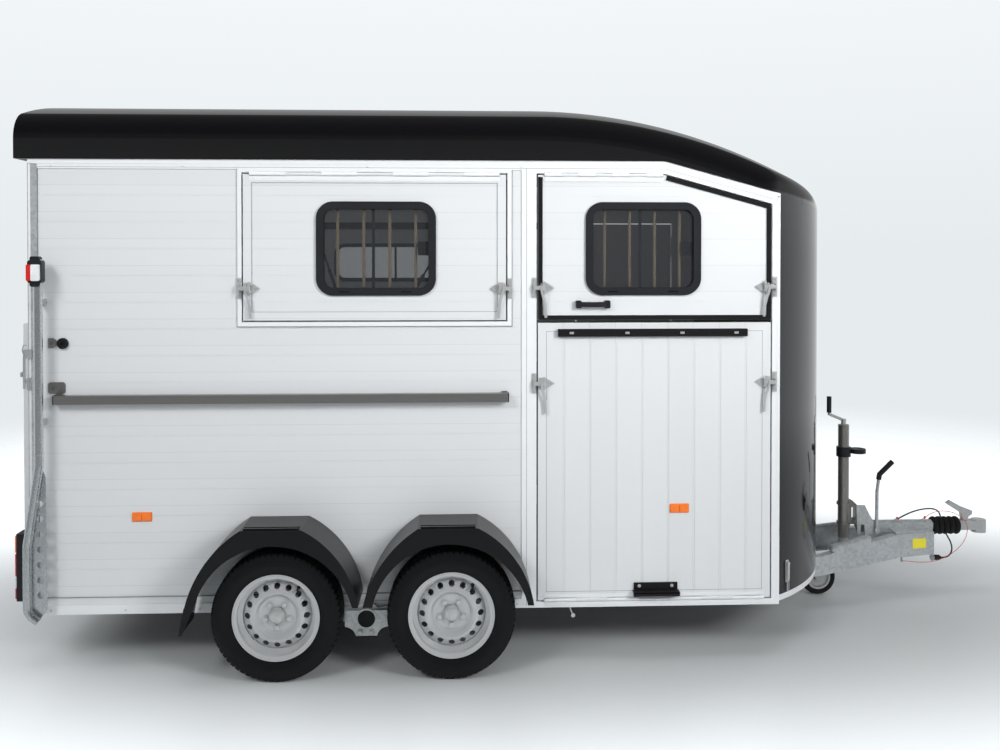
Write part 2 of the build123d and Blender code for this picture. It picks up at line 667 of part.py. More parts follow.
def window_frame(window, y_out, y_in, bars, sunk=0):
    """A black frame clamped round the hole in a face that is sunk behind y_out, with the bars behind it."""
    x0, x1, z0, z1 = window["x0"], window["x1"], window["z0"], window["z1"]
    ring = rounded(x0, x1, z0, z1, WINDOW_CORNER)
    ring -= rounded(x0 + WINDOW_FRAME, x1 - WINDOW_FRAME, z0 + WINDOW_FRAME, z1 - WINDOW_FRAME,
                    WINDOW_CORNER - WINDOW_FRAME)
    lip = side_view(ring, y_out - 8, y_out + sunk - SEAT)
    inner_edge = rounded(x0 + 12.5, x1 - 12.5, z0 + 12.5, z1 - 12.5, WINDOW_CORNER - 12.5)
    inner_edge -= rounded(x0 + WINDOW_FRAME, x1 - WINDOW_FRAME, z0 + WINDOW_FRAME, z1 - WINDOW_FRAME,
                          WINDOW_CORNER - WINDOW_FRAME)
    sleeve = side_view(inner_edge, y_out - 7, y_in + 6)
    sleeve -= side_view(rounded(x0 + WINDOW_FRAME - 6, x1 - WINDOW_FRAME + 6, z0 + WINDOW_FRAME - 6,
                                z1 - WINDOW_FRAME + 6, WINDOW_CORNER - WINDOW_FRAME + 6),
                        y_out + 6, y_out + 6 + GLASS + 2 * SEAT)
    frame_piece = lip + sleeve
    if bars:
        span = x1 - x0 - 2 * WINDOW_FRAME
        for i in range(bars):
            x = x0 + WINDOW_FRAME + span * (i + 0.5) / bars
            frame_piece += tube_between((x, y_in + 4, z0 + 20), (x, y_in + 4, z1 - 20), 6)
    return frame_piece


def window_glass(window, y_out):
    """The pane in the frame's groove."""
    grow = 6 - SEAT
    x0, x1, z0, z1 = window["x0"], window["x1"], window["z0"], window["z1"]
    pane = rounded(x0 + WINDOW_FRAME - grow, x1 - WINDOW_FRAME + grow, z0 + WINDOW_FRAME - grow,
                   z1 - WINDOW_FRAME + grow, WINDOW_CORNER - WINDOW_FRAME + grow)
    return side_view(pane, y_out + 6 + SEAT, y_out + 6 + SEAT + GLASS)


def rear_frame():
    """The portal round the rear opening, with the sill and the fixed knuckles of the ramp."""
    half = WALL_Y - WALL_THICKNESS - SEAT
    low, high = FLOOR_TOP_Z + SEAT, WALL_TOP_Z
    portal = slab(BODY_REAR_X, BODY_REAR_X + 40, -half, half, low, high)
    portal -= slab(BODY_REAR_X - 1, BODY_REAR_X + 41, -half + 60, half - 60, low + 12, high - 60)
    x, z = BODY_REAR_X + 20, high - 60 - CURTAIN_RADIUS + 2
    return portal + tube_between((x, 80 - half, z), (x, half - 80, z), CURTAIN_RADIUS)


def partition():
    """The board between the stalls on its two posts, with the breast and rump bars to the walls."""
    front, rear = STALL_FRONT_X, STALL_REAR_X
    top = ROOF_CROWN_Z - SHELL - SEAT
    reach = WALL_Y - WALL_THICKNESS - SEAT
    board = rounded(rear, front, BOARD_LOW_Z, BOARD_TOP_Z, BOARD_CORNER)
    shape = side_view(board, -BOARD_THICKNESS / 2, BOARD_THICKNESS / 2)
    for x, z in ((front, BREAST_BAR_Z), (rear, RUMP_BAR_Z)):
        shape += tube_between((x, 0, FLOOR_TOP_Z + SEAT), (x, 0, top), POST_RADIUS)
        shape += tube_between((x, 0, FLOOR_TOP_Z + SEAT), (x, 0, FLOOR_TOP_Z + 8), 2 * POST_RADIUS)
        shape += tube_between((x, -reach, z), (x, reach, z), BAR_RADIUS)
        for y0, y1 in ((-reach, 8 - reach), (reach - 8, reach)):
            shape += tube_between((x, y0, z), (x, y1, z), 2 * BAR_RADIUS)
    return shape


def rear_sill():
    """The galvanised edge under the rear ramp that carries its hinge."""
    x, z = rear_hinge()
    half = REAR_RAMP["half_width"] + 10
    sill = slab(x - 4, BODY_REAR_X - SEAT, -half, half, z - 40, z - 10)
    for y0, y1 in rear_spans()[0]:
        sill += slab(x - 6, x + 6, y0, y1, z - 20, z)
        sill += tube_between((x, y0, z), (x, y1, z), HINGE_RADIUS + 2)
    return sill


def rear_hinge():
    """X and Z of the rear ramp's axis, at its lower outer edge."""
    return BODY_REAR_X - SEAT - REAR_RAMP["thickness"], REAR_RAMP["z0"]


def rear_spans():
    """Fixed and moving knuckles across the rear."""
    half = REAR_RAMP["half_width"] - 30
    count = 7
    pitch = 2 * half / count
    spans = [(-half + i * pitch + SEAT, -half + (i + 1) * pitch - SEAT) for i in range(count)]
    return spans[0::2], spans[1::2]


def rear_ramp():
    """The full-width ramp at the rear, with its knuckles."""
    x, z = rear_hinge()
    half = REAR_RAMP["half_width"]
    board = slab(x, x + REAR_RAMP["thickness"], -half, half, z, REAR_RAMP["z1"])
    for y0, y1 in rear_spans()[0]:
        board -= tube_between((x, y0 - 1, z), (x, y1 + 1, z), HINGE_RADIUS + 5)
    for y0, y1 in rear_spans()[1]:
        board += tube_between((x, y0, z), (x, y1, z), HINGE_RADIUS + 2)
    inner = x + REAR_RAMP["thickness"]
    y = PLANK_PITCH / 2
    while y < half - PLANK_PITCH / 2:
        for seam in (y, -y - PLANK_GROOVE):
            board -= slab(x - 1, x + PLANK_GROOVE_DEPTH, seam, seam + PLANK_GROOVE, z + 40, REAR_RAMP["z1"] - 8)
        y += PLANK_PITCH
    level = z + CLEAT_PITCH
    while level < REAR_RAMP["z1"] - CLEAT_PITCH / 2:
        board += slab(inner - 1, inner + CLEAT_HEIGHT, 130 - half, half - 130, level, level + 24)
        level += CLEAT_PITCH
    return board


def side_ramp():
    """The front ramp: upright planks, rubber bar and step outside, cleats inside."""
    y = hinge_y()
    inner = y + PANEL_THICKNESS
    ramp = upright_seams(hung_panel(RAMP, -1), RAMP, y, -1)
    middle = (RAMP["x0"] + RAMP["x1"]) / 2
    ramp += slab(middle - 460, middle + 437, y - 22, y + 1, RAMP["z1"] - 63, RAMP["z1"] - 30)
    ramp += slab(middle - 104, middle + 112, y - 6, y + 1, RAMP["z0"] + 14, RAMP["z0"] + 78)
    ramp += slab(middle - 100, middle + 108, y - 42, y + 1, RAMP["z0"] + 36, RAMP["z0"] + 44)
    level = RAMP["z0"] + CLEAT_PITCH
    while level < RAMP["z1"] - CLEAT_PITCH / 2:
        ramp += slab(RAMP["x0"] + 60, RAMP["x1"] - 60, inner - 1, inner + CLEAT_HEIGHT, level, level + 24)
        level += CLEAT_PITCH
    return ramp


def groom_door():
    """The entrance door at the left front, hung on its front edge."""
    y = -hinge_y()
    body = slab(GROOM["x0"], GROOM["x1"], y - PANEL_THICKNESS, y, GROOM["z0"], GROOM["z1"])
    for z in groom_hinges():
        body -= tube_between((GROOM["x1"], y, z - 85), (GROOM["x1"], y, z - 40), HINGE_RADIUS + 2)
        body += tube_between((GROOM["x1"], y, z - 40), (GROOM["x1"], y, z + 40), HINGE_RADIUS)
    x = GROOM["x0"] + 55
    body = upright_seams(body, GROOM, y, 1)
    for z in (1090, 1230):
        body += tube_between((x, y - 1, z), (x, y + 40, z), 9)
    return body + tube_between((x, y + 40, 1068), (x, y + 40, 1252), 11)


# Fenders


def fender_side(x):
    """Side view of a fender for an axle at x: bulged flanks and a flat top, closed along the lower edge."""
    low = [(x + dx, FENDER_LOW_Z) for dx in FENDER_ENDS]
    flat = [(x + dx, FENDER_TOP_Z) for dx in FENDER_FLAT]
    return make_face([
        bulged(low[0], flat[0], FENDER_BULGES[0]),
        Line(flat[0], flat[1]),
        bulged(flat[1], low[1], FENDER_BULGES[1]),
        Line(low[1], low[0]),
    ])


def fender_arch(x):
    """Side view of the wheel's opening in a fender's side."""
    top = (x + ARCH_TOP, FENDER_ARCH_Z)
    feet = [(x + dx, FENDER_LOW_Z - 1) for dx in ARCH_ENDS]
    deep = [(fx, fz - 40) for fx, fz in feet]
    return make_face([quarter(feet[0], top), quarter(feet[1], top), Polyline(feet[1], deep[1], deep[0], feet[0])])


def fender(end):
    """One wheel's moulded fender: a bent top with two raised ridges, an arched side and, at the rear, a flap."""
    x = WHEEL_X[end]
    side = fender_side(x)
    low = FENDER_LOW_Z
    inner = FENDER_SHEET - FENDER_Y
    wall_side = -WALL_Y - SEAT
    body = side_view(side, -FENDER_Y, wall_side)
    body -= side_view(offset(side, -FENDER_SHEET), inner, wall_side + 1)
    rear, front = [x + dx for dx in FENDER_ENDS]
    body -= slab(rear + 6, front - 6, inner, wall_side + 1, low - 1, low + 6)
    body -= side_view(fender_arch(x), -FENDER_Y - 1, inner + 1)
    for y in (14, 42):
        body += slab(x + FENDER_FLAT[0] + 12, x + FENDER_FLAT[1] - 12, y - FENDER_Y, y + 12 - FENDER_Y,
                     FENDER_TOP_Z - 1, FENDER_TOP_Z + 6)
    if end == "rear":
        wide = outline([(rear, low + 8), (rear + 42, low + 8), (rear - 9, low - 112), (rear - 24, low - 116)])
        thin = outline([(rear, low + 8), (rear + 8, low + 8), (rear - 15, low - 114), (rear - 24, low - 116)])
        body += side_view(wide, -FENDER_Y, 6 - FENDER_Y) + side_view(thin, -FENDER_Y, wall_side - 30)
    post = CENTRE_POST_X - POST_WIDTH / 2 - SEAT
    return body - slab(post, post + 100, hinge_y() - SEAT, 0, 300, 800)


def fenders(side):
    """Both fenders of a side."""
    pair = fender("front") + fender("rear")
    return pair if side == "right" else left_of(pair)


# Drawbar fittings


def overrun_housing():
    """The casting on the drawbar that guides the coupling's shaft, with the clips of lead and cable."""
    z = DRAW_AXIS_Z
    base = DRAW_TOP_Z + SEAT
    rear, front = HOUSING_REAR_X, HOUSING_FRONT_X
    radius = HOUSING_RADIUS
    body = tube_between((rear, 0, z), (front, 0, z), radius)
    body += slab(rear, front, -radius, radius, z, z + 25)
    foot = outline([(rear + 72, -118), (front - 26, -84), (front - 26, 84), (rear + 72, 118)])
    body += Pos(0, 0, base) * extrude(foot, 8)
    body += clip_behind(LEAD_ROUTE[0], LEAD_ROUTE[1], LEAD_DIAMETER, 32)
    body += clip_behind(CABLE_ROUTE[-1], CABLE_ROUTE[-2], CABLE_DIAMETER + 4, 22)
    return body - tube_between((rear + 110, 0, z), (front + 1, 0, z), SHAFT_RADIUS + SEAT)


def clip_behind(end, near, radius, length):
    """A round clip that holds a cord's end and points back along its last run."""
    way = (Vector(*end) - Vector(*near)).normalized()
    return tube_between(end, Vector(*end) + way * length, radius)


def bellows():
    """The ribbed rubber boot between housing and coupling."""
    x0, x1 = HOUSING_FRONT_X + SEAT, BELLOWS_FRONT_X - SEAT
    ribs = 5
    low, high = HOUSING_RADIUS + 3, HOUSING_RADIUS + 16
    pitch = (x1 - x0) / ribs
    bore = SHAFT_RADIUS + SEAT
    lines = [Line((x0, bore), (x0, low))]
    for i in range(ribs):
        lines.append(bulged((x0 + i * pitch, low), (x0 + (i + 1) * pitch, low), high - low))
    lines.append(Polyline((x1, low), (x1, bore), (x0, bore)))
    return Pos(0, 0, DRAW_AXIS_Z) * revolve(make_face(lines), Axis.X)


def coupling_head():
    """The coupling's shaft and head, with the round socket for the tow ball."""
    z = DRAW_AXIS_Z
    ball_x = HEAD_TIP_X - 40
    head = tube_between((HOUSING_REAR_X + 120, 0, z), (3300, 0, z), SHAFT_RADIUS)
    head += slab(BELLOWS_FRONT_X, ball_x, -30, 30, z - 22, z + 28)
    head += Pos(ball_x, 0, z - 38) * Pos(0, 0, 35) * Cylinder(40, 70)
    head -= Pos(ball_x, 0, z - 12) * Sphere(BALL_RADIUS)
    head -= Pos(ball_x, 0, z - 12 - 25) * Cylinder(BALL_RADIUS, 50)
    return head


def coupling_handle():
    """The lever that opens the coupling."""
    face = outline([(3205, 505), (3228, 520), (3290, 486), (3352, 462), (3350, 444), (3330, 430), (3322, 407.3),
                    (3296, 407.3), (3290, 450), (3230, 488)])
    return side_view(face, -16, 16)


def brake_lever():
    """The hand brake's upright rod on the bracket's toothed plate."""
    x, z = LEVER_X, LEVER_Z
    y = SECTOR_Y - 10
    # the plate's outline from its pivot
    marks = [(-111, 135), (-62, 134), (-34, 77), (22, -8), (16, -30), (-63, -30), (-65, 25), (-85, 28),
             (-87, -28), (-105, -26)]
    plate = side_view(outline([(x + dx, z + dz) for dx, dz in marks]), SECTOR_Y, SECTOR_Y + 8)
    rod = tube_between((x, y, z - 8), (2770.5, y, 603), 9)
    rod += tube_between((2770.5, y, 592), (2779, y, 661), 8.8)
    return plate + rod + tube_between((x, y - 12, z), (x, -BRACKET_HALF - SEAT, z), 13)


def brake_grip():
    """The black grip, bent forwards."""
    y = SECTOR_Y - 10
    grip = tube_between((2779.5, y, 662), (2784, y, 690), 14) + Pos(2784, y, 690) * Sphere(14)
    return grip + tube_between((2784, y, 690), (2858, y, 762), 14)


def jockey_tube():
    """The jockey's outer tube with its bracket on the housing and the collar that parks the plug."""
    x = JOCKEY_X
    rear = HOUSING_REAR_X - SEAT
    tube = tube_between((x, 0, JOCKEY_TUBE_BOTTOM), (x, 0, JOCKEY_TUBE_TOP), JOCKEY_TUBE_RADIUS)
    web = outline([(x, 395), (x, 522), (x + 44, 531), (x + 75, 503), (x + 82, 414), (rear, 410), (rear, 352),
                   (x + 84, 352), (x + 66, 395)])
    tube += side_view(web, -BRACKET_HALF, BRACKET_HALF)
    tube -= slab(x + 40, x + 62, -BRACKET_HALF - 1, BRACKET_HALF + 1, 425, 492)
    for z in (395, 505):
        tube += tube_between((x, 0, z), (x, 0, z + 14), JOCKEY_TUBE_RADIUS + 7)
    tube += tube_between((x, 0, 779), (x, 0, 833), JOCKEY_TUBE_RADIUS + 8)
    ring = Pos(x + 80, 0, 808) * (Cylinder(45, 22) - Cylinder(27, 24))
    tube += ring - tube_between((x, 0, 700), (x, 0, 900), JOCKEY_TUBE_RADIUS)
    tube -= tube_between((x, 0, JOCKEY_TUBE_BOTTOM - 1), (x, 0, JOCKEY_TUBE_TOP - 20), JOCKEY_TUBE_RADIUS - 4)
    return tube


def jockey_crank():
    """The crank over the tube, with the upright pin of its grip."""
    x = JOCKEY_X
    crank = tube_between((x, 0, JOCKEY_TUBE_TOP + SEAT), (x, 0, 990), 14)
    crank += tube_between((x, 0, 983), (x - 84, 0, 1018), 8)
    crank += Pos(x - 84, 0, 1018) * Sphere(8)
    return crank + tube_between((x - 84, 0, 1018), (x - 84, 0, 1110), 6)


def crank_grip():
    """The crank's upright grip."""
    x = JOCKEY_X - 84
    grip = tube_between((x, 0, 1027), (x, 0, 1118), 13)
    return grip - tube_between((x, 0, 1026), (x, 0, 1110 + SEAT), 6 + SEAT)


def jockey_inner():
    """The inner tube that the crank winds out."""
    radius = JOCKEY_TUBE_RADIUS - 4 - 2 * SEAT
    return tube_between((JOCKEY_X, 0, FORK_TOP_Z + SEAT), (JOCKEY_X, 0, 850), radius)


def jockey_fork():
    """The castor fork that trails the tube, with its axle pin."""
    x = JOCKEY_X
    axle = (x - JOCKEY_TRAIL, JOCKEY_WHEEL_RADIUS)
    side = JOCKEY_WHEEL_WIDTH / 2 + 4
    fork = tube_between((x, 0, FORK_TOP_Z - 8), (x, 0, FORK_TOP_Z), 34)
    lean = math.degrees(math.atan2(FORK_TOP_Z - 26 - axle[1], x - axle[0]))
    reach = math.hypot(FORK_TOP_Z - 26 - axle[1], x - axle[0])
    arm = Pos(*axle) * Rot(0, 0, lean) * Pos(reach / 2, 0) * SlotCenterToCenter(reach, 40)
    trim = slab(0, 4000, -100, 100, 0, FORK_TOP_Z - 2)
    for y in (-side - 4, side):
        fork += side_view(arm, y, y + 4) & trim
    fork += slab(x - 24, x + 24, -side - 4, side + 4, FORK_TOP_Z - 8, FORK_TOP_Z)
    pin = tube_between((axle[0], -side - 8, axle[1]), (axle[0], side + 8, axle[1]), 8)
    return fork + pin


def jockey_wheel():
    """A small solid-tyred wheel on a steel rim."""
    half = JOCKEY_WHEEL_WIDTH / 2
    r = JOCKEY_WHEEL_RADIUS
    face = outline([(8.5, -half), (22, -half), (22, -10), (62, -10), (62, -half + 4), (r - 10, -half), (r, -half + 10),
                    (r, half - 10), (r - 10, half), (62, half - 4), (62, 10), (22, 10), (22, half), (8.5, half)])
    return Pos(JOCKEY_X - JOCKEY_TRAIL, 0, r) * revolve(face, Axis.Y)


# Cords


def cord_path(route):
    """Straight runs joined by arcs, each as large as its two runs allow, and the arcs' radii."""
    points = [Vector(*p) for p in route]
    radii = []
    for a, b, c in zip(points, points[1:], points[2:]):
        half_turn = math.radians((b - a).get_angle(c - b) / 2)
        radii.append(0.45 * min((b - a).length, (c - b).length) / math.tan(half_turn))
    return FilletPolyline(*points, radius=radii), radii


def cord(name, route, diameter):
    """A cord's tube along its route."""
    path, radii = cord_path(route)
    tube = sweep(Plane(origin=path @ 0, z_dir=path % 0) * Circle(diameter / 2), path)
    print(f"{name}: length {path.length:.0f}, smallest radius {min(radii):.0f}, largest {max(radii):.0f}")
    print(f"{name}: volume over section times length {tube.volume / (path.length * math.pi * diameter ** 2 / 4):.4f}")
    return tube


def lead_plug():
    """The lead's plug, parked against its holder."""
    way = (Vector(*LEAD_ROUTE[-1]) - Vector(*LEAD_ROUTE[-2])).normalized()
    start = Vector(*LEAD_ROUTE[-1])
    neck = tube_between(start, start + way * 12, LEAD_DIAMETER / 2 + 4)
    return neck + tube_between(start + way * 12, start + way * PLUG_LENGTH, PLUG_RADIUS)


def plug_holder():
    """The small plate on the drawbar's end that the plug is parked against."""
    way = (Vector(*LEAD_ROUTE[-1]) - Vector(*LEAD_ROUTE[-2])).normalized()
    tip = Vector(*LEAD_ROUTE[-1]) + way * PLUG_LENGTH
    holder = Plane(origin=tip + way * SEAT, x_dir=(0, 1, 0), z_dir=way)
    ring = extrude(holder * Circle(PLUG_RADIUS + 5), 4)
    rear = BEAM_FRONT_X + SEAT
    return ring + slab(rear, rear + 4, tip.Y - 14, tip.Y + 14, tip.Z + PLUG_RADIUS + 1, 300)


# Fittings of the body


def side_bar():
    """The steel rail along the right side on its two brackets."""
    y = -WALL_Y - 30
    bar = slab(-1429, 658, y - 20, y + 20, 1231, 1271)
    bar -= slab(-1428, 657, y - 17, y + 17, 1234, 1268)
    for x in (-1415, 640):
        bar += slab(x - 14, x + 14, y + 20, -WALL_Y - SEAT, 1225, 1277)
    return bar


def rear_tube_right():
    """The bent guard tube at a rear corner."""
    y = -950
    points = [(-1482, y, 1896), (-1482, y, 955), (-1537, y, 590), (-1537, y, 283), (-1490, y, 245)]
    path = FilletPolyline(*points, radius=60)
    tube = sweep(Plane(origin=path @ 0, z_dir=path % 0) * Circle(20), path)
    for z in (1700, 1150, 420):
        x = -1482 if z > 955 else -1537
        tube += slab(x - 12, x + 12, y, -WALL_Y - FRAME_PROUD - SEAT, z - 15, z + 15)
    guard = outline([(-1475, 945), (-1458, 900), (-1454, 291), (-1490, 250), (-1530, 285), (-1530, 590)])
    guard = side_view(guard, y + 14, y + 18)
    for z in range(360, 850, 70):
        guard -= tube_between((-1485, y, z), (-1485, y + 30, z), 15)
    return tube + guard


def rear_lamps():
    """The lamp boxes beside the rear ramp."""
    rear = BODY_REAR_X - SEAT
    lamp = slab(rear - 40, rear, -925, -WALL_Y + WALL_THICKNESS - 1, 330, 640)
    return lamp + left_of(lamp)


def main():
    os.makedirs("parts", exist_ok=True)
    skin = envelope(0) - envelope(SHELL)
    y_out = hinge_y()
    y_in = y_out + PANEL_THICKNESS
    beam = beam_right()
    nodes = {
        "beam_right": beam + cable_lug(),
        "beam_left": left_of(beam),
        "crossmembers": crossmembers(),
        "pivot_tube": pivot_tube(),
        "swing_arms_right": swing_arms("right"),
        "swing_arms_left": swing_arms("left"),
        "floor": floor(),
        "roof": roof(skin),
        "nose": nose(skin),
        "frame_right": frame("right"),
        "frame_left": frame("left"),
        "wall_right": wall("right"),
        "wall_left": wall("left"),
        "rear_frame": rear_frame(),
        "rear_sill": rear_sill(),
        "partition": partition(),
        "fenders_right": fenders("right"),
        "fenders_left": fenders("left"),
        "overrun_housing": overrun_housing(),
        "bellows": bellows(),
        "coupling_head": coupling_head(),
        "coupling_handle": coupling_handle(),
        "brake_lever": brake_lever(),
        "brake_grip": brake_grip(),
        "jockey_tube": jockey_tube(),
        "jockey_crank": jockey_crank(),
        "crank_grip": crank_grip(),
        "jockey_inner": jockey_inner(),
        "jockey_fork": jockey_fork(),
        "jockey_wheel": jockey_wheel(),
        "lead": cord("lead", LEAD_ROUTE, LEAD_DIAMETER),
        "lead_plug": lead_plug(),
        "breakaway_cable": cord("breakaway_cable", CABLE_ROUTE, CABLE_DIAMETER),
        "side_bar": side_bar(),
        "rear_tube_right": rear_tube_right(),
        "rear_tube_left": left_of(rear_tube_right()),
        "rear_lamps": rear_lamps(),
        "hatch": window_hole(panel_face(hung_panel(HATCH, 1), HATCH, HATCH_BORDER), HATCH_WINDOW, y_out, y_in),
        "front_flap": window_hole(panel_face(hung_panel(DOOR, 1, True), DOOR, SEAL_BORDER, True), DOOR_WINDOW,
                                  y_out, y_in),
        "side_ramp": side_ramp(),
        "rear_ramp": rear_ramp(),
        "groom_door": groom_door(),
        "hatch_window": window_frame(HATCH_WINDOW, y_out, y_in, 4, FIELD_DEPTH),
        "hatch_glass": window_glass(HATCH_WINDOW, y_out),
        "flap_window": window_frame(DOOR_WINDOW, y_out, y_in, 4, FIELD_DEPTH),
        "flap_glass": window_glass(DOOR_WINDOW, y_out),
        "far_window": left_of(window_frame(FAR_WINDOW, -WALL_Y, -WALL_Y + WALL_THICKNESS, 0)),
        "far_glass": left_of(window_glass(FAR_WINDOW, -WALL_Y)),
    }
    for side in SIDES:
        for end in WHEEL_X:
            nodes[f"tyre_{end}_{side}"] = on_axle(tyre(), side, end)
            nodes[f"rim_{end}_{side}"] = on_axle(rim(), side, end)
            nodes[f"hub_{end}_{side}"] = on_axle(hub(), side, end)
    for name, shape in nodes.items():
        export_step(Pos(-ORIGIN_X, 0, 0) * shape, f"parts/{name}.step")


main()
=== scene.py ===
import bmesh
import bpy
import math
from mathutils import Matrix, Vector


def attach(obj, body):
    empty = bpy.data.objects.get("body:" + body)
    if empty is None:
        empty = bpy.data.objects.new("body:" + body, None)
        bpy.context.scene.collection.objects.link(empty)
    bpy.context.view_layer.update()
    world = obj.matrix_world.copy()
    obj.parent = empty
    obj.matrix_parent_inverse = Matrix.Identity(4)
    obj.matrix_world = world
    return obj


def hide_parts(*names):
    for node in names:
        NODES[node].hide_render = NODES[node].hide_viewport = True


# Two-horse trailer: finishes, small fittings, cords, camera and light. Metres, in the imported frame.
# Places are written from the ground midway between the axles and moved by ORIGIN_X when a piece is made.

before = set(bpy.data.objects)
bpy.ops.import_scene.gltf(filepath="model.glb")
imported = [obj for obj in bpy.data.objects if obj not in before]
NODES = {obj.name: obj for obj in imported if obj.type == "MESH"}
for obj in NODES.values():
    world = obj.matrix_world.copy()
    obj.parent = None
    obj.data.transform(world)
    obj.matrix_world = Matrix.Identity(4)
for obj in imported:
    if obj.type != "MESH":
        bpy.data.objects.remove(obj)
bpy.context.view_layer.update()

ORIGIN_X = 0.9095
WALL_Y = 0.875
FACE_Y = 0.880
FIELD_Y = 0.877
PANEL_DEPTH = 0.034
TAIL_X = -1.5963
PLANK_PITCH = 0.124
PLANK_START = 0.007
JOINT_SHARE = 0.016
JOINT_TONE = 0.84
SIDES = {"right": -1, "left": 1}
TYRE_FACE_Y = 1.100
TYRE_WIDTH = 0.182
TYRE_RADIUS = 0.292
AXLE_X = {"front": 0.3925, "rear": -0.3925}


def at(x, y, z):
    """A point given from the ground midway between the axles."""
    return Vector((x - ORIGIN_X, y, z))


# Camera

LENS = 36.0
CAMERA = at(0.415, -5.572, 1.900)
YAW = math.radians(2.5)
PITCH = math.radians(0.8)
SHIFT_Y = -0.1025


def place_camera():
    data = bpy.data.cameras.new("camera")
    data.lens = LENS
    data.sensor_width = 36.0
    data.shift_y = SHIFT_Y
    camera = bpy.data.objects.new("camera", data)
    camera.location = CAMERA
    camera.rotation_euler = (math.radians(90) - PITCH, 0, -YAW)
    bpy.context.scene.collection.objects.link(camera)
    bpy.context.scene.camera = camera


place_camera()


# Materials

PLANK = (0.78, 0.80, 0.81)
GALVANISED = (0.62, 0.65, 0.66)


def new_node(tree, kind, values):
    """A shader node; each value goes to the input of its name, or else to the setting."""
    made = tree.nodes.new(kind)
    for key, value in values.items():
        if key in made.inputs:
            made.inputs[key].default_value = value
        else:
            setattr(made, key, value)
    return made


class Finish:
    """A material under construction: its nodes and the sockets that the builders below need."""

    def __init__(self, name, color, roughness, metallic=0.0):
        self.material = bpy.data.materials.new(name)
        self.material.use_nodes = True
        self.tree = self.material.node_tree
        self.shader = self.tree.nodes["Principled BSDF"]
        self.shader.inputs["Base Color"].default_value = (*color, 1.0)
        self.shader.inputs["Roughness"].default_value = roughness
        self.shader.inputs["Metallic"].default_value = metallic
        self.color = color

    def node(self, kind, **values):
        return new_node(self.tree, kind, values)

    def link(self, source, target):
        self.tree.links.new(source, target)

    def math(self, operation, source, *values):
        """A sum on a socket; each further value is a number or another socket."""
        made = self.node("ShaderNodeMath", operation=operation)
        self.link(source, made.inputs[0])
        for socket, value in zip(made.inputs[1:], values):
            if isinstance(value, (int, float)):
                socket.default_value = value
            else:
                self.link(value, socket)
        return made.outputs[0]

    def position(self, scale=(1, 1, 1)):
        """Object coordinates, stretched by scale."""
        coordinates = self.node("ShaderNodeTexCoord")
        mapping = self.node("ShaderNodeMapping", Scale=scale)
        self.link(coordinates.outputs["Object"], mapping.inputs["Vector"])
        return mapping.outputs["Vector"]

    def noise(self, scale, detail=3.0, stretch=(1, 1, 1)):
        texture = self.node("ShaderNodeTexNoise", Scale=scale, Detail=detail)
        self.link(self.position(stretch), texture.inputs["Vector"])
        return texture.outputs["Fac"]

    def sum_of(self, first, share, second, other):
        """first times share plus second times other."""
        return self.math("MULTIPLY_ADD", first, share, self.math("MULTIPLY", second, other))

    def tint(self, factor, low, high):
        """Varies the base colour between two shares of it by factor."""
        ramp = self.node("ShaderNodeMix", data_type="RGBA")
        ramp.inputs[6].default_value = (*[c * low for c in self.color], 1.0)
        ramp.inputs[7].default_value = (*[min(1.0, c * high) for c in self.color], 1.0)
        self.link(factor, ramp.inputs[0])
        self.link(ramp.outputs[2], self.shader.inputs["Base Color"])

    def rough(self, factor, low, high):
        spread = self.node("ShaderNodeMapRange")
        spread.inputs["To Min"].default_value = low
        spread.inputs["To Max"].default_value = high
        self.link(factor, spread.inputs["Value"])
        self.link(spread.outputs["Result"], self.shader.inputs["Roughness"])

    def bump(self, height, strength, distance):
        made = self.node("ShaderNodeBump", Strength=strength, Distance=distance)
        self.link(height, made.inputs["Height"])
        self.link(made.outputs["Normal"], self.shader.inputs["Normal"])


def plank_finish(name, color, along):
    """Satin anodised planks: grain along them, a slight change of tone between them, and dark joints."""
    finish = Finish(name, color, 0.42, 0.25)
    stretch = {"x": (1.5, 60, 60), "z": (60, 60, 1.5)}[along]
    grain = finish.noise(14, 4, stretch)
    split = finish.node("ShaderNodeSeparateXYZ")
    finish.link(finish.position(), split.inputs["Vector"])
    across = split.outputs["Z" if along == "x" else "X"]
    step = finish.math("MULTIPLY_ADD", across, 1 / PLANK_PITCH, -PLANK_START / PLANK_PITCH)
    tone = finish.node("ShaderNodeTexWhiteNoise", noise_dimensions="1D")
    finish.link(finish.math("FLOOR", step), tone.inputs["W"])
    finish.tint(finish.sum_of(tone.outputs["Value"], 0.4, grain, 0.6), 0.965, 1.02)
    dark = finish.node("ShaderNodeMix", data_type="RGBA")
    dark.inputs[7].default_value = (*[c * JOINT_TONE for c in color], 1.0)
    finish.link(finish.shader.inputs["Base Color"].links[0].from_socket, dark.inputs[6])
    finish.link(finish.math("LESS_THAN", finish.math("FRACT", step), JOINT_SHARE), dark.inputs[0])
    finish.link(dark.outputs[2], finish.shader.inputs["Base Color"])
    finish.rough(grain, 0.38, 0.50)
    finish.bump(grain, 0.06, 0.0004)
    return finish.material


def profile_finish(name, color):
    """Satin anodised profile with faint drawing lines."""
    finish = Finish(name, color, 0.38, 0.2)
    grain = finish.noise(10, 4, (3, 3, 3))
    finish.tint(grain, 0.97, 1.02)
    finish.rough(grain, 0.32, 0.44)
    finish.bump(finish.noise(240, 2), 0.03, 0.0003)
    return finish.material


